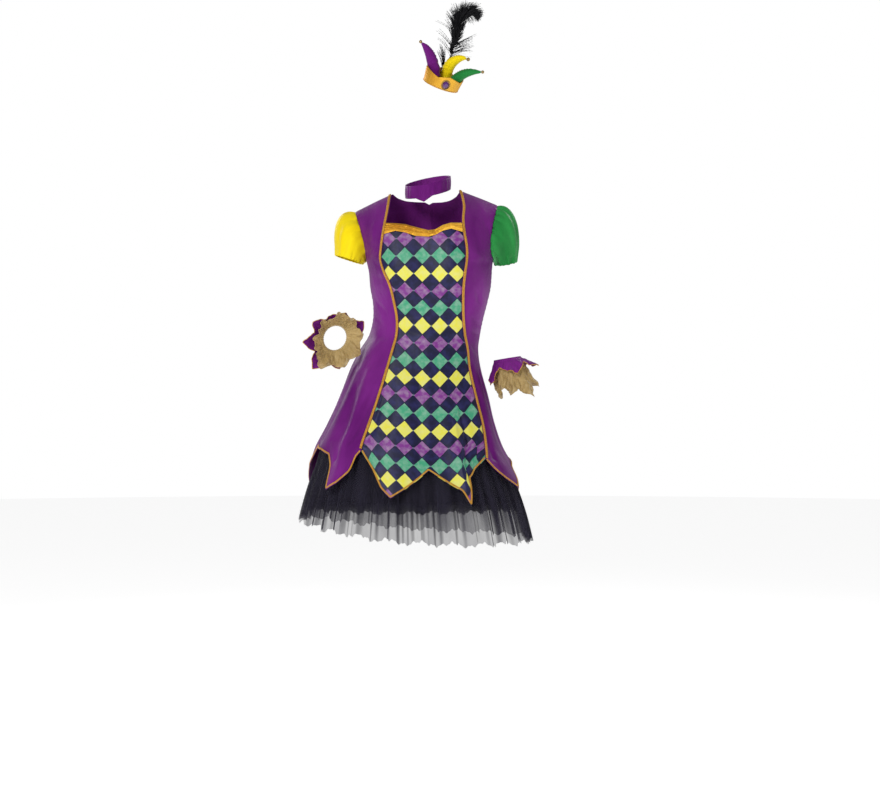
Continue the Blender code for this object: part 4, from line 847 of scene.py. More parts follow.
def read_line(line, run, places):
    return np.stack([np.interp(places, run, line[:, k]) for k in range(3)], axis=1)


def new_curve(name, lines, radius, finish, cyclic=False, resolution=1):
    curve = bpy.data.curves.new(name, "CURVE")
    curve.dimensions = "3D"
    curve.bevel_depth = radius
    curve.bevel_resolution = resolution
    curve.use_fill_caps = not cyclic
    for line in lines:
        spline = curve.splines.new("POLY")
        spline.points.add(len(line) - 1)
        spline.points.foreach_set("co", np.column_stack([line, np.ones(len(line))]).ravel())
        spline.use_cyclic_u = cyclic
    curve.materials.append(finish)
    piece = bpy.data.objects.new(name, curve)
    scene.collection.objects.link(piece)
    return piece


def plait(name, node, path, out, width, pitch):
    """A flat plait of three strands along a path on the cloth."""
    run = run_length(path)
    places = np.linspace(0.0, run[-1], int(run[-1] / pitch * PLAIT_STEPS))
    centre, up = read_line(path, run, places), unit(read_line(out, run, places))
    side = unit(np.cross(up, np.gradient(centre, axis=0)))
    strand = width * STRAND_SHARE
    lines = []
    for k in range(3):
        turn = 2 * math.pi * (places / pitch + k / 3)
        swing = side * ((width / 2 - strand) * np.sin(turn))[:, None]
        lines.append(centre + swing + up * (strand * 0.45 * np.sin(2 * turn))[:, None])
    settle(new_curve(name, lines, strand * 0.92, FINISHES["gold_braid"]), "gold_braid", node)
    print(f"{name}: {run[-1]:.3f} m of plait")


def hem_rise(points):
    """How tall the hem braid stands at each column, taller where the hem is steep."""
    hem = points[0]
    slope = np.gradient(hem[:, 2]) / np.maximum(np.hypot(*np.gradient(hem[:, :2], axis=0).T), 1e-6)
    tall = np.minimum(HEM_BRAID_WIDTH * np.hypot(1.0, slope), 0.016)
    return np.convolve(np.pad(tall, 2, "edge"), np.ones(5) / 5, "valid")


def above_hem(points, values, height):
    """Values of a grid at a height above its hem, for each column."""
    made = []
    for c in range(points.shape[1]):
        rise = points[:, c, 2] - points[0, c, 2]
        made.append([np.interp(height[c], rise, values[:, c, k]) for k in range(3)])
    return np.array(made)


# %% Sew the braid on
for node, (points, out, along, across) in panel_grids.items():
    rise = hem_rise(points)
    height = HEM_BRAID_START + rise / 2
    direction = above_hem(points, out, height)
    path = above_hem(points, points, height) + direction * BRAID_OUT
    plait(f"{node}_hem_plait", f"hem_braid_{node}", path[1:-1], direction[1:-1], HEM_BRAID_WIDTH, HEM_PITCH)
for node, braid_node, at_start in (("side_front_yellow", "seam_braid_yellow", False),
                                   ("side_front_green", "seam_braid_green", True)):
    points, out, along, across = panel_grids[node]
    column = 0 if at_start else -1
    first = HEM_BRAID_START + hem_rise(points)[column] + BRAID_END_GAP
    path, direction = [], []
    for row in range(len(points)):
        if points[row, column, 2] - points[0, column, 2] < first:
            continue
        inward = across[row] if at_start else across[row, -1] - across[row]
        order = np.argsort(inward)
        path.append([np.interp(SEAM_BRAID_WIDTH / 2, inward[order], points[row, order, k]) for k in range(3)])
        direction.append([np.interp(SEAM_BRAID_WIDTH / 2, inward[order],
                                    out[row, order, k]) for k in range(3)])
    path, direction = np.array(path), np.array(direction)
    plait(f"{node}_seam_plait", braid_node, path + direction * BRAID_OUT, direction, SEAM_BRAID_WIDTH,
          SEAM_PITCH)

# %% [markdown]
# ## The gold band
#
# A strip of gold satin is folded over the front panel's top edge. It is gathered towards one place right of the
# middle, so soft folds run along it and meet there.

# %% Neckline band
BAND_OUT = 0.0022
BAND_END = 0.35
BAND_FOLD_DEPTH = 0.0036
BAND_KNOT = 0.66
BAND_FOLDS = [(-0.62, 0.10, 0.9), (-0.30, 0.11, 1.0), (0.06, 0.09, 0.8), (0.36, 0.12, 1.0), (0.72, 0.10, 0.8)]
share = np.linspace(0.0, 1.0, 181)
side = np.linspace(-1.0, 1.0, 41)[:, None]
band_x = FRONT_TOP_LEFT + (FRONT_TOP_RIGHT - FRONT_TOP_LEFT) * share
reach = np.where(side > 0, straight_curve(NECKLINE, "x", "up", band_x),
                 straight_curve(NECKLINE, "x", "down", band_x))
level = level_of(straight_curve(NECKLINE, "x", "height", band_x) + side * reach, band_x)
start, end = yellow_princess(level), green_princess(level)
angle = start + BAND_END + (end - start - 2 * BAND_END) * share
points = dress_surface(level, angle)
from_knot = share - BAND_KNOT
squeeze = 0.30 + 0.70 * np.clip(np.abs(from_knot) / 0.42, 0.0, 1.0) ** 0.8
lift = BAND_OUT + 0.0010 * (1 - side**4)
for n, (middle, width, strength) in enumerate(BAND_FOLDS):
    line = -0.10 + (middle + 0.10) * squeeze + 0.09 * np.sin(9.0 * share + 1.7 * n) + 0.05 * np.sin(23.0 * share + n)
    broken = 0.55 + 0.45 * np.sin(11.0 * share + 2.3 * n)
    ridge = np.exp(-np.abs((side - line) / (width * (0.6 + 0.6 * squeeze))) ** 1.5)
    lift = lift + BAND_FOLD_DEPTH * strength * broken * ridge * (1 - side**6)
pinch = np.exp(-((from_knot / 0.035) ** 2))
lift = lift - 0.0012 * pinch * (1 - side**2)
cloth("neckline_satin", points + normals(points) * lift[..., None], "gold_satin", ["neckline_band"],
      thickness=0.0012)

# %% [markdown]
# ## Puff sleeves
#
# A puff sleeve is wider than both its ends. It is gathered into the armhole and again into its elastic hem, so
# the folds start sharp at both and die away over the crown. Each ring of the grid follows a bent line from the
# armhole to the hem.

# %% Sleeves
SleeveHem = namedtuple("SleeveHem", "centre axis side_radius depth_radius")
SLEEVE_HEMS = {
    -1: SleeveHem((-0.1925, 0.0, -0.1500), (-0.30, 0.0, -0.95), 0.037, 0.044),
    1: SleeveHem((0.2000, 0.030, -0.1560), (0.15, 0.20, -0.95), 0.030, 0.041),
}
SLEEVE_GATHERS = 7
SLEEVE_GATHER_DEPTH = 0.0022
SLEEVE_START = 0.0002
SLEEVE_LEAVE = 0.006
SLEEVE_LEAVE_TOP = 0.042
SLEEVE_RETURN = 0.008
SLEEVE_RETURN_TOP = 0.052
SLEEVE_OVERHANG = 0.016
SLEEVE_LIFT = 0.35
SLEEVE_FRONT_SWELL = 0.5
SLEEVE_COLUMNS = 256
SLEEVE_ROWS = 64
Gather = namedtuple("Gather", "turn width depth reach slant")


def armhole_loop(side, count):
    """Even points around an armhole: down its front edge from the shoulder, and up its back edge."""
    lowest = SHOULDER_ARC * math.asin(ARMHOLE[1].rise) / (math.pi / 2)
    levels = lowest + (SHOULDER_ARC - lowest) * np.linspace(0.0, 1.0, 25) ** 2
    front = dress_surface(levels[::-1], side_angle(levels[::-1], side))
    back = dress_surface(levels[1:-1], side_angle(levels[1:-1], side, back=True))
    loop = np.concatenate([front, back, front[:1]])
    run = run_length(loop)
    return read_line(loop, run, np.linspace(0.0, run[-1], count + 1))


def gathers(seed, count, least, most):
    rng = random.Random(seed)
    made = []
    for n in range(count):
        turn = (n + rng.uniform(-0.35, 0.35)) / count
        made.append(Gather(turn, rng.uniform(0.008, 0.016), rng.uniform(0.35, 1.0), rng.uniform(least, most),
                           rng.uniform(-0.03, 0.03)))
    return made


def gathered(turn, away, folds, depth):
    """Height of the folds that start at an edge. Away runs from 0 at the edge to 1 at the other."""
    total = 0.0
    for fold in folds:
        gap = (turn - fold.turn - fold.slant * away + 0.5) % 1.0 - 0.5
        width = fold.width * (1.0 + 2.2 * away / fold.reach)
        fade = np.clip(1.0 - away / fold.reach, 0.0, 1.0) ** 1.3
        total = total + fold.depth * fade * np.exp(-((gap / width) ** 2))
    return depth * total


def sleeve_grid(side, hem, seed, drawn):
    axis, centre = unit(np.array(hem.axis)), np.array(hem.centre)
    outer = unit(np.array((side, 0.0, 0.0)) - axis * axis[0] * side)
    front = np.cross(axis, outer)
    front = -front if front[1] > 0 else front
    arm = unit(np.array((side, 0.0, -0.2)))
    turn = np.linspace(0.0, 1.0, SLEEVE_COLUMNS + 1)
    down = np.linspace(1.0, 0.0, SLEEVE_ROWS + 1)[:, None, None]
    top = (0.5 + 0.5 * np.cos(2 * math.pi * turn))[:, None]
    cos, sin = np.cos(2 * math.pi * turn)[:, None], np.sin(2 * math.pi * turn)[:, None]
    radial = outer * cos + front * sin
    swell = np.column_stack([0 * turn, radial[:, 1] * SLEEVE_FRONT_SWELL, SLEEVE_LIFT * (2 * top[:, 0] - 1)])
    first = armhole_loop(side, SLEEVE_COLUMNS) + arm * SLEEVE_START
    leave = first + unit(arm + swell) * (SLEEVE_LEAVE + SLEEVE_LEAVE_TOP * top)
    last = centre + outer * hem.side_radius * cos + front * hem.depth_radius * sin
    back = last - axis * (SLEEVE_RETURN + SLEEVE_RETURN_TOP * top) + radial * SLEEVE_OVERHANG * top
    s = down
    points = first * (1 - s) ** 3 + leave * 3 * s * (1 - s) ** 2 + back * 3 * s**2 * (1 - s) + last * s**3
    s = down[..., 0]
    body = np.sin(math.pi * s) ** 0.6 * (0.3 + 0.7 * top[:, 0])
    wave = np.cos(2 * math.pi * (SLEEVE_GATHERS * turn + 0.25 * np.sin(6 * math.pi * turn + seed)))
    lift = SLEEVE_GATHER_DEPTH * wave * body
    lift = lift - gathered(turn, s, gathers(seed, 18, 0.30, 0.95), drawn) * (0.35 + 0.65 * top[:, 0])
    lift = lift - gathered(turn, 1 - s, gathers(seed + 7, 22, 0.16, 0.60), drawn)
    lift = lift + 0.0030 * np.sin(math.pi * s)
    out = normals(points, wrap=True)
    if np.mean(np.sum(out * (points - points.mean(axis=1, keepdims=True)), axis=-1)) < 0:
        points, lift = points[:, ::-1], lift[:, ::-1]
        out = normals(points, wrap=True)
    return points + out * lift[..., None]


for side, slot, node, seed, drawn in ((-1, "yellow_satin", "sleeve_yellow", 3, 0.0040),
                                      (1, "green_satin", "sleeve_green", 5, 0.0062)):
    cloth(f"{node}_cloth", sleeve_grid(side, SLEEVE_HEMS[side], seed, drawn), slot, [node],
          wrap=True)

# %% [markdown]
# ## The petticoat
#
# Three layers of net hang from the waist seam: a smooth yoke, a dense flounce that holds the skirt out, and a
# sheer flounce over it, which shows below the points of the hem. Net is gathered by the metre, so its waves
# are uneven.

# %% Net layers
NetSection = namedtuple("NetSection", "height centre half_width front back")
NET_SECTIONS = table(
    NetSection,
    (-0.330, -0.0013, 0.1345, 0.0930, 0.0900), (-0.375, -0.0170, 0.1420, 0.0990, 0.0990),
    (-0.425, -0.0260, 0.1570, 0.1140, 0.1180), (-0.500, -0.0310, 0.1820, 0.1400, 0.1490),
    (-0.560, -0.0360, 0.2020, 0.1630, 0.1730), (-0.615, -0.0390, 0.2240, 0.1840, 0.1950),
    (-0.660, -0.0360, 0.2410, 0.2000, 0.2100), (-0.715, -0.0340, 0.2630, 0.2160, 0.2270),
    (-0.785, -0.0320, 0.2850, 0.2330, 0.2450), (-0.860, -0.0300, 0.3020, 0.2470, 0.2590),
)
SHEER_TOP = -0.530
SHEER_WAVES = 36
SHEER_DEPTH = 0.015
DENSE_TOP = -0.552
DENSE_HEM = -0.770
DENSE_WAVES = 28
DENSE_DEPTH = 0.010
WAVE_OPENING = 0.24
GATHERED_DEPTH = 0.0006
FIRST_INSET = 0.0010
SEAT_STEP = 0.0014
LAYER_STEP = 0.0034
STEP_OPENING = 0.05
YOKE_SEAT = 0.0009
YOKE_TUCK = 0.0050
YOKE_TOP = -0.335
YOKE_LOW = -0.585
EDGE_ON_FROM = 0.55
EDGE_ON_SPAN = 0.55
DENSE_FADE = 0.035
SHEER_FADE = 0.090


def wave_depth(top, depth, height):
    return GATHERED_DEPTH + depth * np.clip((top - height) / WAVE_OPENING, 0.0, 1.0)


def layer_step(height):
    return SEAT_STEP + (LAYER_STEP - SEAT_STEP) * np.clip((DENSE_TOP - height) / STEP_OPENING, 0.0, 1.0)


def sheer_layer(height):
    return FIRST_INSET, wave_depth(SHEER_TOP, SHEER_DEPTH, height)


def dense_layer(height):
    inset, depth = sheer_layer(height)
    return inset + depth + layer_step(height), wave_depth(DENSE_TOP, DENSE_DEPTH, height)


def yoke_layer(height):
    under = FIRST_INSET + GATHERED_DEPTH + SEAT_STEP
    inset, depth = dense_layer(height)
    share = np.clip((SHEER_TOP - height) / (SHEER_TOP - DENSE_TOP), 0.0, 1.0)
    low = under + (inset + depth + layer_step(height) - under) * share
    high = under + (YOKE_SEAT - under) * (height - SHEER_TOP) / (YOKE_TOP - SHEER_TOP)
    tucked = YOKE_TUCK * np.clip((height - SHEER_TOP) / 0.08, 0.0, 1.0)
    return np.where(height > SHEER_TOP, high, low) + tucked, 0.0 * height


def sheer_hem(angle):
    ragged = 0.0045 * np.sin(angle * 0.41) + 0.003 * np.sin(angle * 1.37 + 1.0) + 0.0015 * np.sin(angle * 3.1)
    return -0.846 + 0.052 * ((1 - np.sin(np.radians(angle))) / 2) ** 3 + ragged


def dense_hem(angle):
    return DENSE_HEM + 0.004 * np.sin(angle * 0.53 + 2.0) + 0.002 * np.sin(angle * 1.9)


def net_grid(layer, waves, low, top, half, columns, rows):
    start, end = (-90.0, 90.0) if half == "front" else (90.0, 270.0)
    angle = np.linspace(start, end, columns + 1)
    height = low(angle) + (top - low(angle)) * np.linspace(0.0, 1.0, rows + 1)[:, None]
    angle = np.broadcast_to(angle, height.shape)
    turn = np.radians(angle)
    inset, depth = layer(height)
    wander = 1.1 * np.sin(3 * turn + 0.7) + 0.8 * np.sin(8 * turn + 2.1 + 2.0 * height)
    swing = np.cos(waves * turn + wander) + 0.35 * np.sin(2.3 * waves * turn + 3.0 * wander)
    reach = -inset - depth / 2 + depth / 2 * np.clip(swing, -1.1, 1.1)
    row = {c: smooth_curve(NET_SECTIONS, "height", c, height) for c in ("centre", "half_width", "front",
                                                                        "back")}
    deep = cut_depth(np.where(np.cos(turn) > 0, row["front"], row["back"]), turn)
    points = np.stack([row["centre"] + (row["half_width"] + reach) * np.sin(turn),
                       -deep - reach * np.cos(turn),
                       height], axis=-1)
    steep = np.abs(np.gradient(reach, axis=1)) / np.linalg.norm(np.gradient(points[..., :2], axis=1), axis=-1)
    edge_on = np.clip((steep - EDGE_ON_FROM) / EDGE_ON_SPAN, 0.0, 1.0)
    above = height - low(angle)
    return points, edge_on, above


for half in ("front", "back"):
    yoke, edge_on, above = net_grid(yoke_layer, 0, lambda a: YOKE_LOW + 0 * a, YOKE_TOP, half, 48, 24)
    cloth(f"net_yoke_{half}", yoke, "black_net", [f"petticoat_yoke_{half}"],
          fold=np.ones_like(edge_on))
    dense, edge_on, above = net_grid(dense_layer, DENSE_WAVES, dense_hem, DENSE_TOP, half, 280, 28)
    cloth(f"net_dense_{half}", dense, "black_net", [f"petticoat_dense_{half}"],
          thickness=0.0005, fold=np.clip(above / DENSE_FADE + 0.5 * edge_on, 0.0, 1.0))
    sheer, edge_on, above = net_grid(sheer_layer, SHEER_WAVES, sheer_hem, SHEER_TOP, half, 400, 36)
    thin = np.clip(above / SHEER_FADE, 0.0, 1.0)
    cloth(f"net_sheer_{half}", sheer, "sheer_net", [f"petticoat_sheer_{half}"],
          thickness=0.0, fold=np.clip(0.9 * edge_on + 0.35 * thin - 0.10, 0.0, 1.0))

# %% [markdown]
# ## The choker
#
# The choker is a straight satin band, closed behind, with a shallow point sewn into its lower edge.

# %% Choker
CHOKER_CENTRE = (0.005, 0.006)
CHOKER_RADIUS = 0.056
CHOKER_LOW = 0.0170
CHOKER_HIGH = 0.0487
CHOKER_ROLL = 0.20
CHOKER_PITCH = 0.25
CHOKER_POINT = 0.0110
CHOKER_POINT_ANGLE = -10.0
CHOKER_POINT_WIDTH = 22.0
CHOKER_CRUSH = 0.0006
CHOKER_BULGE = 0.0004
CHOKER_THICKNESS = 0.0018
angle = np.linspace(CHOKER_POINT_ANGLE, CHOKER_POINT_ANGLE + 360.0, 241)
side = np.linspace(0.0, 1.0, 17)[:, None]
turn = np.radians(angle)
away = np.abs((angle - CHOKER_POINT_ANGLE + 180.0) % 360.0 - 180.0)
low = CHOKER_LOW - CHOKER_POINT * np.clip(1 - away / CHOKER_POINT_WIDTH, 0.0, 1.0)
crush = CHOKER_CRUSH * np.sin(23 * turn + 2 * np.sin(5 * turn)) * np.sin(math.pi * side)
radius = CHOKER_RADIUS + crush + CHOKER_BULGE * np.sin(math.pi * side)
x, y = radius * np.sin(turn), -radius * np.cos(turn)
height = low + (CHOKER_HIGH - low) * side + CHOKER_ROLL * x + CHOKER_PITCH * y
points = np.stack([CHOKER_CENTRE[0] + x, CHOKER_CENTRE[1] + y, height], axis=-1)
cloth("choker_band", points, "purple_satin", ["choker"], thickness=CHOKER_THICKNESS,
      wrap=True)

# %% [markdown]
# ## Wrist cuffs
#
# Each cuff has two jagged tiers on one elastic: gold organza next to the hand and purple satin behind it. A tier is
# a ring of points that flares from the arm. Its length and flare change around the wrist.

# %% Cuffs
Cuff = namedtuple("Cuff", "centre axis back")
Tier = namedtuple("Tier", "name node cuff slot ring_radius waves wave points")
TierPoint = namedtuple("TierPoint", "angle length flare")
YELLOW_CUFF = Cuff((-0.2217, -0.100, -0.3484), (0.45, -0.85, -0.25), (0.0, 0.0, 1.0))
GREEN_CUFF = Cuff((0.2025, -0.010, -0.3960), (0.16, 0.0, -0.987), (0.0, 1.0, 0.0))
CUFF_START = 0.35
CUFF_TURN = 0.020
CUFF_GATHER = 0.0005
CUFF_THICKNESS = 0.0007
CUFF_EDGES = {"purple_satin": ("gold_braid", 0.0009), "gold_organza": ("gold_organza", 0.0006)}
CUFF_CRUMPLES = {"purple_satin": 0.0016, "gold_organza": 0.0034}
TIERS = [
    Tier("yellow_cuff_satin", "cuff_yellow_side_satin", YELLOW_CUFF, "purple_satin", 0.0330, 9, 5.0, table(
        TierPoint,
        (-180, 0.030, 74), (-145, 0.026, 76), (-123, 0.045, 78), (-103, 0.030, 78), (-83, 0.055, 78),
        (-60, 0.032, 78), (-36, 0.062, 76), (-13, 0.028, 74), (10, 0.045, 72), (35, 0.026, 72),
        (60, 0.045, 74), (90, 0.028, 76), (122, 0.050, 76), (145, 0.024, 76), (165, 0.036, 74),
        (180, 0.030, 74),
    )),
    Tier("yellow_cuff_organza", "cuff_yellow_side_organza", YELLOW_CUFF, "gold_organza", 0.0305, 8, 6.0,
         table(
        TierPoint,
        (-180, 0.042, 54), (-170, 0.046, 54), (-145, 0.034, 54), (-120, 0.044, 54), (-97, 0.034, 54),
        (-74, 0.048, 54), (-54, 0.040, 54), (-34, 0.062, 54), (-10, 0.038, 52), (15, 0.050, 52),
        (38, 0.036, 52), (60, 0.048, 52), (83, 0.034, 52), (105, 0.044, 54), (125, 0.032, 54),
        (145, 0.042, 54), (180, 0.042, 54),
    )),
    Tier("green_cuff_satin", "cuff_green_side_satin", GREEN_CUFF, "purple_satin", 0.0331, 9, 4.0, table(
        TierPoint,
        (-180, 0.027, 30), (-140, 0.055, 26), (-105, 0.028, 20), (-70, 0.064, 20), (-35, 0.022, 24),
        (18, 0.047, 32), (50, 0.021, 44), (80, 0.052, 52), (115, 0.026, 44), (150, 0.050, 34),
        (180, 0.027, 30),
    )),
    Tier("green_cuff_organza", "cuff_green_side_organza", GREEN_CUFF, "gold_organza", 0.0315, 8, 4.0, table(
        TierPoint,
        (-180, 0.085, 10), (-140, 0.065, 8), (-115, 0.090, 6), (-88, 0.068, 4), (-60, 0.098, 5),
        (-32, 0.072, 6), (-5, 0.094, 8), (20, 0.078, 12), (45, 0.112, 16), (70, 0.066, 20), (95, 0.090, 20),
        (115, 0.068, 18), (140, 0.100, 14), (165, 0.070, 10), (180, 0.085, 10),
    )),
]


def tier_grid(tier, columns, rows):
    hand, back = unit(np.array(tier.cuff.axis)), np.array(tier.cuff.back)
    back = unit(back - hand * hand.dot(back))
    right = np.cross(back, hand)
    right = -right if right[0] < 0 else right
    angle = np.linspace(-180.0, 180.0, columns + 1)
    part = np.linspace(1.0, 0.0, rows + 1)[:, None]
    turn = np.radians(angle)
    length = straight_curve(tier.points, "angle", "length", angle)
    flare = straight_curve(tier.points, "angle", "flare", angle)
    ruffle = np.cos(turn * tier.waves) + 0.5 * np.sin(turn * (2 * tier.waves + 3) + 1.0) * part
    flare = flare + tier.wave * ruffle
    radial = right * np.sin(turn)[:, None] - back * np.cos(turn)[:, None]
    reach = length * part
    bend = np.radians(flare) * np.clip(CUFF_START + reach / CUFF_TURN, CUFF_START, 1.0)
    gather = CUFF_GATHER * np.cos(turn * 41) * (1 - part)
    points = np.array(tier.cuff.centre) + radial * (tier.ring_radius + gather + reach * np.sin(bend))[...,
                                                                                                      None]
    points = points + hand * (reach * np.cos(bend))[..., None]
    crumple = 0.5 * np.sin(9 * turn + 150 * reach + 1.0) + 0.4 * np.sin(17 * turn - 190 * reach + 2.0)
    crumple = crumple + 0.3 * np.sin(31 * turn + 260 * reach)
    out = normals(points, wrap=True)
    points = points + out * (CUFF_CRUMPLES[tier.slot] * crumple * part)[..., None]
    if np.mean(np.sum(out * radial, axis=-1)) < 0:
        points = points[:, ::-1]
    return points


for tier in TIERS:
    points = tier_grid(tier, 320, 24)
    edge_finish, edge_radius = CUFF_EDGES[tier.slot]
    edge = new_curve(f"{tier.name}_edge", [points[0, :-1]], edge_radius, FINISHES[edge_finish], cyclic=True)
    settle(edge, edge_finish)
    cloth(tier.name, points, tier.slot, [tier.node], thickness=CUFF_THICKNESS, wrap=True)

# %% [markdown]
# ## The mini hat
#
# A stiff pointed crown of gold satin stands on a disc. Three stuffed satin horns grow out of it, each with a small
# bell, and a black plume stands behind. Everything is placed in the hat's own axes: side, back and up.

# %% Hat frame
HAT_CENTRE = (0.0360, -0.040, 0.2790)
HAT_UP = (0.344, -0.342, 0.874)
hat_up = Vector(HAT_UP).normalized()
hat_side = (Vector((1.0, 0.0, 0.0)) - hat_up * hat_up.x).normalized()
hat_frame = Matrix((hat_side, hat_up.cross(hat_side), hat_up)).transposed().to_4x4()
hat_frame.translation = Vector(HAT_CENTRE)


def in_hat(points):
    """Points of the hat's axes as places in the scene."""
    matrix = np.array(hat_frame)
    return points @ matrix[:3, :3].T + matrix[:3, 3]


# %% Crown
CROWN_RADIUS = 0.0440
CROWN_FLARE = 0.15
CROWN_THICKNESS = 0.0020
CROWN_CLOTH = 0.0018
CROWN_RIDGE, CROWN_VALLEY = 0.0014, -0.0020
ROLL_RADIUS = 0.0019
ROLL_OUT = 0.0002
ROLL_UP = 0.0013
CrownPoint = namedtuple("CrownPoint", "angle height")
CROWN_POINTS = table(
    CrownPoint,
    (-180, 0.040), (-150, 0.028), (-120, 0.040), (-95, 0.030), (-70, 0.0385), (-20, 0.026), (15, 0.036),
    (60, 0.026), (110, 0.034), (145, 0.026), (180, 0.040),
)
angle = np.linspace(-180.0, 180.0, 289)
part = np.linspace(0.0, 1.0, 17)[:, None]
turn = np.radians(angle)
height = straight_curve(CROWN_POINTS, "angle", "height", angle) * part
folds = 0.0
for n, point in enumerate(CROWN_POINTS[:-1]):
    away = (angle - point.angle + 180.0) % 360.0 - 180.0
    folds = folds + (CROWN_RIDGE if n % 2 == 0 else CROWN_VALLEY) * np.exp(-np.abs(away / 9.0) ** 1.4)
radius = CROWN_RADIUS + CROWN_FLARE * height + folds * (0.3 + 0.7 * part)
points = in_hat(np.stack([radius * np.sin(turn), -radius * np.cos(turn), height], axis=-1))
cloth("crown_satin", points, "gold_satin", ["hat_crown"],
      thickness=CROWN_CLOTH,
      wrap=True)
roll_radius = CROWN_RADIUS + ROLL_OUT
roll = in_hat(np.stack([roll_radius * np.sin(turn), -roll_radius * np.cos(turn), 0 * turn + ROLL_UP],
                       axis=-1))
rolled = new_curve("crown_rolled_hem", [roll[:-1]], ROLL_RADIUS, FINISHES["gold_braid"], cyclic=True)
settle(rolled, "gold_satin")

# %% Base disc
BASE_RADIUS = 0.0420
BASE_DEPTH = 0.0036
BASE_BEVEL = 0.0006
bm = bmesh.new()
bmesh.ops.create_cone(bm, cap_ends=True, segments=64, radius1=BASE_RADIUS, radius2=BASE_RADIUS,
                      depth=BASE_DEPTH)
rims = [edge for edge in bm.edges if abs(edge.verts[0].co.z - edge.verts[1].co.z) < 1e-6]
bmesh.ops.bevel(bm, geom=rims, offset=BASE_BEVEL, offset_type="OFFSET", segments=2, profile=0.5,
                affect="EDGES",
                material=-1)
bmesh.ops.transform(bm, matrix=hat_frame @ Matrix.Translation((0, 0, BASE_DEPTH / 2)), verts=bm.verts)
settle(new_piece("hat_base_disc", bm, FINISHES["gold_braid"]), "gold_satin", "hat_base")

# %% Horns
Knot = namedtuple("Knot", "along side back up radius")
PURPLE_HORN = table(
    Knot,
    (0.000, -0.0240, -0.004, 0.0043, 0.0160), (0.011, -0.0240, -0.004, 0.0160, 0.0160),
    (0.030, -0.0295, -0.004, 0.0346, 0.0150), (0.063, -0.0480, -0.004, 0.0612, 0.0125),
    (0.088, -0.0663, -0.004, 0.0770, 0.0080), (0.102, -0.0792, -0.004, 0.0838, 0.0025),
)
YELLOW_HORN = table(
    Knot,
    (0.000, 0.0050, 0.017, 0.0043, 0.0135), (0.012, 0.0050, 0.017, 0.0160, 0.0135),
    (0.027, 0.0050, 0.017, 0.0317, 0.0140), (0.042, 0.0044, 0.017, 0.0462, 0.0140),
    (0.057, 0.0084, 0.017, 0.0606, 0.0130), (0.073, 0.0184, 0.016, 0.0735, 0.0100),
    (0.087, 0.0304, 0.015, 0.0808, 0.0060), (0.095, 0.0383, 0.015, 0.0816, 0.0025),
)
GREEN_HORN = table(
    Knot,
    (0.000, 0.0245, -0.010, 0.0043, 0.0130), (0.010, 0.0245, -0.010, 0.0140, 0.0130),
    (0.027, 0.0300, -0.010, 0.0300, 0.0130), (0.048, 0.0421, -0.010, 0.0472, 0.0115),
    (0.069, 0.0589, -0.010, 0.0592, 0.0085), (0.093, 0.0815, -0.010, 0.0678, 0.0025),
)


def tube_grid(knots, columns, rows):
    """A tube of changing radius along a smooth line, in the hat's axes: its middle, its radius and its rings."""
    along = np.linspace(knots[0].along, knots[-1].along, rows + 1)
    centre = np.stack([smooth_curve(knots, "along", c, along) for c in ("side", "back", "up")], axis=-1)
    radius = smooth_curve(knots, "along", "radius", along)
    ahead = unit(np.gradient(centre, axis=0))
    one = unit(np.cross(ahead, (0.0, 1.0, 0.0)))
    two = np.cross(one, ahead)
    turn = np.linspace(0.0, 2 * math.pi, columns + 1)
    ring = one[:, None] * np.cos(turn)[:, None] + two[:, None] * np.sin(turn)[:, None]
    return along[:, None], turn, centre, radius[:, None], ring


def horn(name, node, knots, slot, seed):
    along, turn, centre, radius, ring = tube_grid(knots, 64, 88)
    bend = np.gradient(np.unwrap(np.arctan2(*np.gradient(centre[:, [0, 2]], axis=0).T)))[:, None]
    inner = np.clip(np.cos(turn) * np.sign(bend), 0.0, 1.0)
    wrinkle = np.sin(2 * math.pi * along / 0.0075 + 2.0 * np.sin(turn + seed) + 9.0 * np.sin(60.0 * along + seed))
    swell = 1.0 + 0.045 * wrinkle * (0.25 + inner) - 0.05 * np.exp(-((np.abs(np.sin(turn)) - 1) / 0.004) ** 2)
    swell = swell + 0.03 * np.sin(3 * turn + 30 * along + seed)
    points = in_hat(centre[:, None] + (radius * swell)[..., None] * ring)
    out = normals(points, wrap=True)
    if np.mean(np.sum(out * (points - in_hat(centre)[:, None]), axis=-1)) < 0:
        points = points[:, ::-1]
    bm = bent_grid(points, simple_cut(points), wrap=True)
    bmesh.ops.holes_fill(bm, edges=bm.edges, sides=0)
    piece = new_piece(name, bm, FINISHES[slot])
    settle(piece, slot, node)


for colour, knots, seed in (("purple", PURPLE_HORN, 1.0), ("yellow", YELLOW_HORN, 2.0),
                            ("green", GREEN_HORN, 4.0)):
    horn(f"horn_{colour}", f"hat_horn_{colour}", knots, f"{colour}_satin", seed)

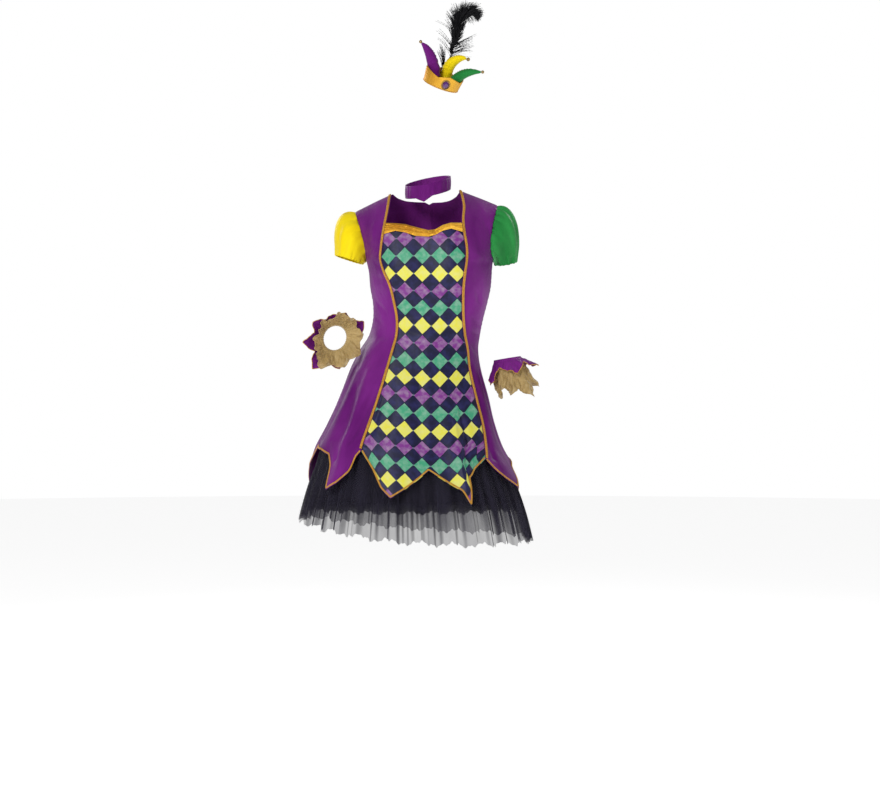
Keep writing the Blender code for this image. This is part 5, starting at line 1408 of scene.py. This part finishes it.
# %% Bells
BELLS = [("purple", PURPLE_HORN, 0.0040), ("yellow", YELLOW_HORN, 0.0046), ("green", GREEN_HORN, 0.0040)]
LIE_GAP = 0.0004
for colour, knots, radius in BELLS:
    before, tip = (Vector((knot.side, knot.back, knot.up)) for knot in knots[-2:])
    ahead = (tip - before).normalized()
    place = tip + ahead * (radius + LIE_GAP)
    bm = bmesh.new()
    bmesh.ops.create_uvsphere(bm, u_segments=32, v_segments=24, radius=1.0)
    for vert in bm.verts:
        flange = math.exp(-((vert.co.z / 0.09) ** 2))
        slit = math.exp(-((min(abs(vert.co.x), abs(vert.co.y)) / 0.10) ** 2)) if vert.co.z > 0.35 else 0.0
        vert.co *= 1.0 + 0.09 * flange - 0.14 * slit
    turned = hat_frame @ Matrix.Translation(place) @ ahead.to_track_quat("Z", "Y").to_matrix().to_4x4()
    bmesh.ops.transform(bm, matrix=turned @ Matrix.Diagonal((radius, radius, radius, 1.0)), verts=bm.verts)
    settle(new_piece(f"bell_{colour}", bm, FINISHES["gold_metal"]), "gold_metal", f"hat_bell_{colour}")

# %% Gem
GEM_ANGLE = 10.0
GEM_HEIGHT = 0.0143
GEM_RADII = (0.0082, 0.0035, 0.0100)
GEM_RIM_WIRE = 0.0012
lean = math.atan(CROWN_FLARE)
gem_reach = CROWN_RADIUS + CROWN_FLARE * GEM_HEIGHT + CROWN_THICKNESS / 2 + GEM_RADII[1] + LIE_GAP
gem_place = hat_frame @ Matrix.Rotation(math.radians(GEM_ANGLE), 4, "Z")
gem_place = gem_place @ Matrix.Translation((0.0, -gem_reach, GEM_HEIGHT)) @ Matrix.Rotation(lean, 4, "X")
bm = bmesh.new()
bmesh.ops.create_cone(bm, cap_ends=True, segments=12, radius1=1.0, radius2=0.56, depth=1.3)
girdle = [edge for edge in bm.edges if edge.verts[0].co.z < 0 and edge.verts[1].co.z < 0]
bmesh.ops.bevel(bm, geom=girdle, offset=0.16, offset_type="OFFSET", segments=1, profile=0.5, affect="EDGES",
                material=-1)
facing = gem_place @ Matrix.Rotation(math.radians(90), 4, "X")
bmesh.ops.transform(bm, matrix=facing @ Matrix.Diagonal((GEM_RADII[0], GEM_RADII[2], GEM_RADII[1], 1.0)),
                    verts=bm.verts)
gem = new_piece("gem_cut", bm, FINISHES["purple_gem"])
gem.data.shade_flat()
settle(gem, "purple_gem", "hat_gem")
turn = np.linspace(0.0, 2 * math.pi, 65)[:-1]
rim_reach = GEM_RIM_WIRE + LIE_GAP
rim = np.stack([(GEM_RADII[0] + rim_reach) * np.cos(turn), 0 * turn + GEM_RADII[1] - GEM_RIM_WIRE,
                (GEM_RADII[2] + rim_reach) * np.sin(turn)], axis=-1)
matrix = np.array(gem_place)
rim_wire = new_curve("gem_rim_wire", [rim @ matrix[:3, :3].T + matrix[:3, 3]], GEM_RIM_WIRE,
                     FINISHES["gold_metal"], cyclic=True, resolution=3)
settle(rim_wire, "gold_metal", "hat_gem_rim")

# %% [markdown]
# ## The plume
#
# An ostrich plume has a thin shaft and hundreds of soft barbs, each with its own fluff. A narrow strip whose width
# jumps in and out at every step reads as one fluffy barb. Barbs leave the shaft forwards, and looser ones reach
# past them round the head and low on the shaft.

# %% Plume
FEATHER = table(
    Knot,
    (0.000, -0.0100, 0.035, 0.0042, 0.0015), (0.041, -0.0060, 0.037, 0.0450, 0.0018),
    (0.068, 0.0010, 0.038, 0.0709, 0.0022), (0.085, -0.0025, 0.038, 0.0876, 0.0065),
    (0.109, -0.0025, 0.038, 0.1118, 0.0150), (0.134, -0.0059, 0.038, 0.1367, 0.0190),
    (0.157, -0.0082, 0.038, 0.1594, 0.0200), (0.178, -0.0026, 0.038, 0.1796, 0.0190),
    (0.194, 0.0091, 0.038, 0.1904, 0.0165), (0.209, 0.0240, 0.038, 0.1894, 0.0110),
    (0.219, 0.0335, 0.038, 0.1851, 0.0040),
)
Wisp = namedtuple("Wisp", "along side up count")
WISPS = table(
    Wisp,
    (0.118, -0.0620, 0.1413, 2), (0.092, -0.0499, 0.1183, 4), (0.074, -0.0400, 0.1050, 4),
    (0.036, -0.0268, 0.0806, 46), (0.088, 0.0375, 0.1374, 12), (0.082, 0.0374, 0.1226, 10),
    (0.076, 0.0397, 0.1115, 12), (0.070, 0.0433, 0.0970, 12), (0.105, -0.0295, 0.1459, 22),
    (0.120, -0.0357, 0.1601, 26), (0.135, -0.0385, 0.1700, 28), (0.145, -0.0344, 0.1880, 28),
    (0.152, -0.0248, 0.1878, 34), (0.160, -0.0151, 0.1990, 44), (0.172, -0.0034, 0.2027, 50),
    (0.186, 0.0132, 0.2052, 54), (0.194, 0.0310, 0.1940, 50), (0.200, 0.0315, 0.1851, 46),
    (0.194, 0.0280, 0.1798, 40), (0.180, 0.0205, 0.1723, 36),
)
BARBS = 1500
FIRST_BARB, LAST_BARB = 0.072, 0.218
BARB_STEPS = 14
BARB_WIDTH = 0.0014
WISP_WIDTH = 0.0011
WISP_BACK = 0.036
STEM_RADIUS = 0.0013
STEM_TAPER = 0.0008
plume_rng = random.Random(11)


def feather_at(along, column):
    return float(smooth_curve(FEATHER, "along", column, np.array(along)))


def shaft_at(along):
    return Vector([feather_at(along, c) for c in ("side", "back", "up")])


def barb(bm, start, bend, end, width):
    """One fluffy strip along a bent line."""
    across = (end - start).cross(Vector((plume_rng.uniform(-1, 1), plume_rng.uniform(-1, 1),
                                         0.3))).normalized()
    for vert in bmesh.ops.create_grid(bm, x_segments=1, y_segments=BARB_STEPS, size=0.5)["verts"]:
        t = vert.co.y + 0.5
        step = round(t * BARB_STEPS)
        fluff = width * (0.25 + 0.75 * (step % 2)) * (1.0 - 0.7 * t) * (2 * vert.co.x)
        place = start * (1 - t) ** 2 + bend * 2 * t * (1 - t) + end * t**2
        vert.co = hat_frame @ (place + across * fluff)


bm = bmesh.new()
for n in range(BARBS):
    along = FIRST_BARB + (LAST_BARB - FIRST_BARB) * ((n + plume_rng.random()) / BARBS)
    start = shaft_at(along)
    ahead = (shaft_at(min(along + 0.004, 0.219)) - shaft_at(along - 0.004)).normalized()
    around = plume_rng.uniform(0, 2 * math.pi)
    outwards = ahead.cross(Vector((0, 1, 0))).normalized() * math.cos(around)
    outwards = outwards + Vector((0, 0.6, 0)) * math.sin(around)
    reach = feather_at(along, "radius") * plume_rng.uniform(0.80, 1.18)
    length = reach * plume_rng.uniform(0.9, 1.5)
    end = start + outwards * reach + ahead * length
    bend = start + outwards * reach * 0.65 + ahead * length * 0.35
    barb(bm, start, bend, end, BARB_WIDTH)
for wisp in WISPS:
    for n in range(wisp.count):
        spread = min(0.5 + wisp.count / 12, 1.6)
        start = shaft_at(wisp.along + plume_rng.uniform(-0.008, 0.008))
        end = Vector((wisp.side + plume_rng.uniform(-0.006, 0.006) * spread,
                      WISP_BACK + plume_rng.uniform(-0.01, 0.01),
                      wisp.up + plume_rng.uniform(-0.007, 0.007) * spread))
        bend = start.lerp(end, 0.5) + Vector((0, 0, 0.006))
        barb(bm, start, bend, end, WISP_WIDTH)
along, turn, centre, radius, ring = tube_grid(FEATHER, 10, 70)
stem = STEM_RADIUS - STEM_TAPER * (along / FEATHER[-1].along)
stem_points = in_hat(centre[:, None] + stem[..., None] * ring)
shaft = bent_grid(stem_points, simple_cut(stem_points), wrap=True)
stem_mesh = bpy.data.meshes.new("stem")
shaft.to_mesh(stem_mesh)
shaft.free()
bm.from_mesh(stem_mesh)
bpy.data.meshes.remove(stem_mesh)
plume = new_piece("plume", bm, FINISHES["black_feather"])
settle(plume, "black_feather", "hat_feather")
print("plume", len(plume.data.polygons), "strips and faces")
